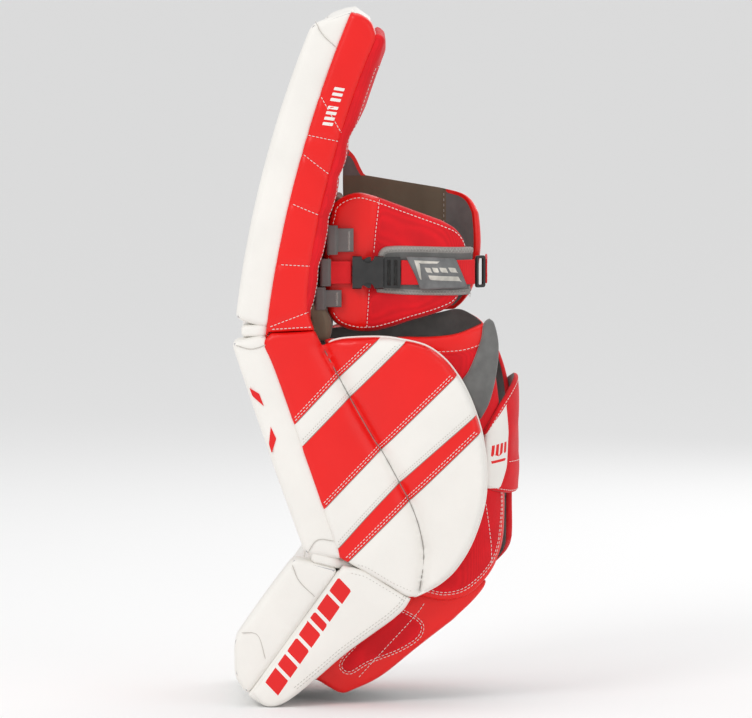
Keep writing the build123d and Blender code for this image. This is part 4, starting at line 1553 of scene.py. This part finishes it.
def roll_marks():
    """Two small printed darts on the shin's roll."""
    shapes = []
    for points in ([(-164, -58), (-153.5, -64), (-148.5, -77.5), (-161, -66.5)],
                   [(-141, -100), (-135, -113), (-140, -129), (-143, -119)]):
        ring = resample(points, 2, closed=True)
        n = len(ring)
        top = [(OUTER + 1.75, *p) for p in ring]
        low = [(OUTER - 0.5, *p) for p in ring]
        faces = [tuple(range(n))] + [(i, n + i, n + (i + 1) % n, (i + 1) % n) for i in range(n)]
        shapes.append((top + low, faces))
    piece = build("shin_roll_marks", *joined(shapes), ["print_red"], smooth=False)
    settle(piece, "shin")


roll_marks()

# ---- Finish of the nodes carried over ------------------------------------------------
FINISH = {"white_leather": "white", "red_leather": "red", "red_nylon": "nylon",
          "olive_nylon": "olive", "grey_lining": "lining", "grey_suede": "suede",
          "grey_webbing": "webbing", "red_webbing": "red_webbing", "foam": "foam",
          "stiffener_sheet": "sheet", "black_plastic": "plastic", "label_rubber": "label",
          "eyelet_steel": "metal"}
finishes = {p["node"]: p["material_slot"] for p in frame["record"]["subparts"]}
for node_name, node in frame["nodes"].items():
    node.data.materials.clear()
    node.data.materials.append(mats[FINISH[finishes[node_name]]])


# ---- The break at the knee, and trim on the slabs -------------------------------------
def knee_bridge():
    """Soft olive cloth that joins the thigh to the shin behind the slabs."""
    top, foot = np.array([-107.0, 34.0]), np.array([-98.0, -9.0])

    def place(d, w, h):
        t = h / 40.0
        y, z = foot + (top - foot) * t
        bulge = 5.0 * sin(pi * min(1.0, max(0.0, t)))
        gather = 1.2 * sin(w * 0.33) * sin(pi * min(1.0, max(0.0, t)))
        return (w - 84, y + d + bulge + gather, z)

    piece = padded_box("knee_bridge", (21.0, 166.0, 40.0), 5.0, (1.0, 0.5, 0.3), place, ["olive"],
                       spacing=4)
    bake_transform(piece)
    settle(piece, None)


knee_bridge()


def hinge_pad(name, line, thick, half_x):
    """White padding that fills a break between two sections, along a side-view line."""
    line = np.array(line, float)
    run = np.concatenate([[0], np.cumsum(np.linalg.norm(np.diff(line, axis=0), axis=1))])
    low_x, high_x = half_x

    def place(d, w, h):
        y, z = (np.interp(h, run, line[:, k]) for k in (0, 1))
        grown = np.interp(h, [0, run[-1]], thick) / thick[0]
        narrower = 1 - 8.0 / (high_x - low_x) * step_up((h - 26) / 6)
        return (low_x + w * narrower, y, z + (d - thick[0] / 2) * grown)

    size = (thick[0], high_x - low_x, float(run[-1]))
    piece = padded_box(name, size, min(4.0, thick[0] / 2 - 0.6), (0.6, 0.5, 0.8), place,
                       ["white"], spacing=6)
    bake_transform(piece)
    settle(piece, None)


hinge_pad("knee_hinge_pad", [(-173, 4), (-143, 5), (-104, 11)], (12.0, 17.0),
          (INNER + 7, OUTER - 2.5))
hinge_pad("boot_hinge_pad", [(-97, -243), (-63, -251.5), (-12, -279)], (12.0, 12.0),
          (INNER + 7, OUTER - 2.5))


def dashes_on(name, lines, body, colour="thread", pitch=4.6, length=3.1, radius=0.42):
    """Stitches along 3-D lines."""
    parts = []
    for line in lines:
        p = resample([tuple(q) for q in line], 1.1)
        run = np.concatenate([[0], np.cumsum(np.linalg.norm(np.diff(p, axis=0), axis=1))])
        for i in range(int(run[-1] / pitch)):
            marks = i * pitch + 0.7 + length * np.array([0, 0.2, 0.8, 1])
            ends = np.stack([np.interp(marks, run, p[:, k]) for k in range(3)], axis=1)
            parts.append(tube(ends, radius, 5))
    thread(name, parts, body, colour)


def on_surface(target, lines, lift, toward):
    """Lines dropped on a finished piece's surface, looking along a direction."""
    graph = bpy.context.evaluated_depsgraph_get()
    tree = BVHTree.FromObject(target, graph)
    toward = Vector(toward).normalized()
    found = []
    for line in lines:
        kept = []
        for p in line:
            start = Vector(p) * MM - toward * 0.06
            hit = tree.ray_cast(start, toward, 0.12)[0]
            if hit is not None:
                kept.append(tuple((hit - toward * lift * MM) / MM))
        if len(kept) > 2:
            found.append(kept)
    return found


def thigh_back_rows():
    """Quilting across the thigh's back, with a stitched hem round it."""
    back = bpy.data.objects["thigh_back"]
    away = (0, -1, 0.1)

    def across(height, inset):
        width = range(int(INNER) + inset + 2, int(OUTER) - inset, 3)
        return [(x, *thigh.point(thigh.back + 8, height)) for x in width]

    quilting = ((-62, 219), (-68, 211), (-76, 173), (-87, 130), (-95, 75))
    rows = [across(thigh.locate(y, z)[1], 5) for y, z in quilting]
    for x in (INNER + 8, OUTER - 7):
        rows.append([(x, *thigh.point(thigh.back + 8, h)) for h in range(26, 322, 4)])
    rows += [across(h, 7) for h in (27, 318)]
    dashes_on("thigh_back_stitches", on_surface(back, rows, 0.2, away), "thigh")


thigh_back_rows()


def slab_trim(name):
    """A slab's inner side: a stitched line beside each long edge, and a dark line of painted seam shade
    beside each stitched line.
    """
    section = SECTIONS[name]
    core = bpy.data.objects[f"{name}_core"]
    low, high = section.low(40) + 8, section.high(40) - 8
    heights = np.arange(low, high, 4)
    lines = [[(INNER, *section.point(FACE + 8, h)) for h in heights],
             [(INNER, *section.point(section.back - 7, h)) for h in heights]]
    rows = on_surface(core, lines, 0.15, (1, 0, 0))
    dashes_on(f"{name}_side_stitches", rows, name, "pale_thread", radius=0.36)
    # Dark tubes beside the stitched lines: painted seam shade.
    seams = []
    for line in ([(INNER, *section.point(FACE + 11, h)) for h in heights],
                 [(INNER, *section.point(section.back - 10, h)) for h in heights]):
        for kept in on_surface(core, [line], 0.0, (1, 0, 0)):
            seams.append(tube(kept, 0.4, 5))
    piece = build(f"{name}_side_seam_shade", *joined(seams), ["dark_seam"])
    settle(piece, name)


for part in SECTIONS:
    slab_trim(part)


# ---- Room ----------------------------------------------------------------------------
def room():
    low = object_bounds()[0]
    bpy.ops.mesh.primitive_plane_add(size=120, location=(0, 0, low[2]))
    floor = bpy.context.object
    floor.name = "floor"
    pale = bpy.data.materials.new("pale_floor")
    pale.use_nodes = True
    pale.node_tree.nodes["Principled BSDF"].inputs["Base Color"].default_value = (0.9, 0.9, 0.9, 1)
    pale.node_tree.nodes["Principled BSDF"].inputs["Roughness"].default_value = 0.9
    floor.data.materials.append(pale)
    floor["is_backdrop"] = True
    world = bpy.data.worlds.new("studio")
    bpy.context.scene.world = world
    world.use_nodes = True
    world.node_tree.nodes["Background"].inputs["Color"].default_value = (1, 1, 1, 1)
    world.node_tree.nodes["Background"].inputs["Strength"].default_value = 0.78
    for name, place, size, power in (
        ("key", (2.6, -1.9, 2.2), 1.3, 38),
        ("fill", (2.4, 2.0, 0.9), 1.8, 9),
        ("top", (-0.6, 0.2, 2.8), 1.8, 13),
        ("back", (-2.4, 1.2, 1.2), 1.8, 12),
    ):
        lamp = bpy.data.lights.new(name, "AREA")
        lamp.size, lamp.energy = size, power
        light = bpy.data.objects.new(name, lamp)
        light.location = place
        light.rotation_euler = (-Vector(place)).to_track_quat("-Z", "Y").to_euler()
        bpy.context.collection.objects.link(light)


def camera():
    """A long lens on the outer side, a little above level."""
    lens, distance_m, rise = 351.3, 8.0, radians(4.0)
    aim = Vector((0.11, -0.0262, -0.0262))
    eye = bpy.data.cameras.new("camera")
    eye.lens, eye.sensor_width = lens, 36.0
    eye.clip_end = 200
    view = bpy.data.objects.new("camera", eye)
    away = Vector((cos(rise), 0, sin(rise)))
    view.location = aim + away * distance_m
    view.rotation_euler = (-away).to_track_quat("-Z", "Y").to_euler()
    bpy.context.collection.objects.link(view)
    bpy.context.scene.camera = view


room()
camera()
bpy.context.scene.view_settings.view_transform = "Standard"
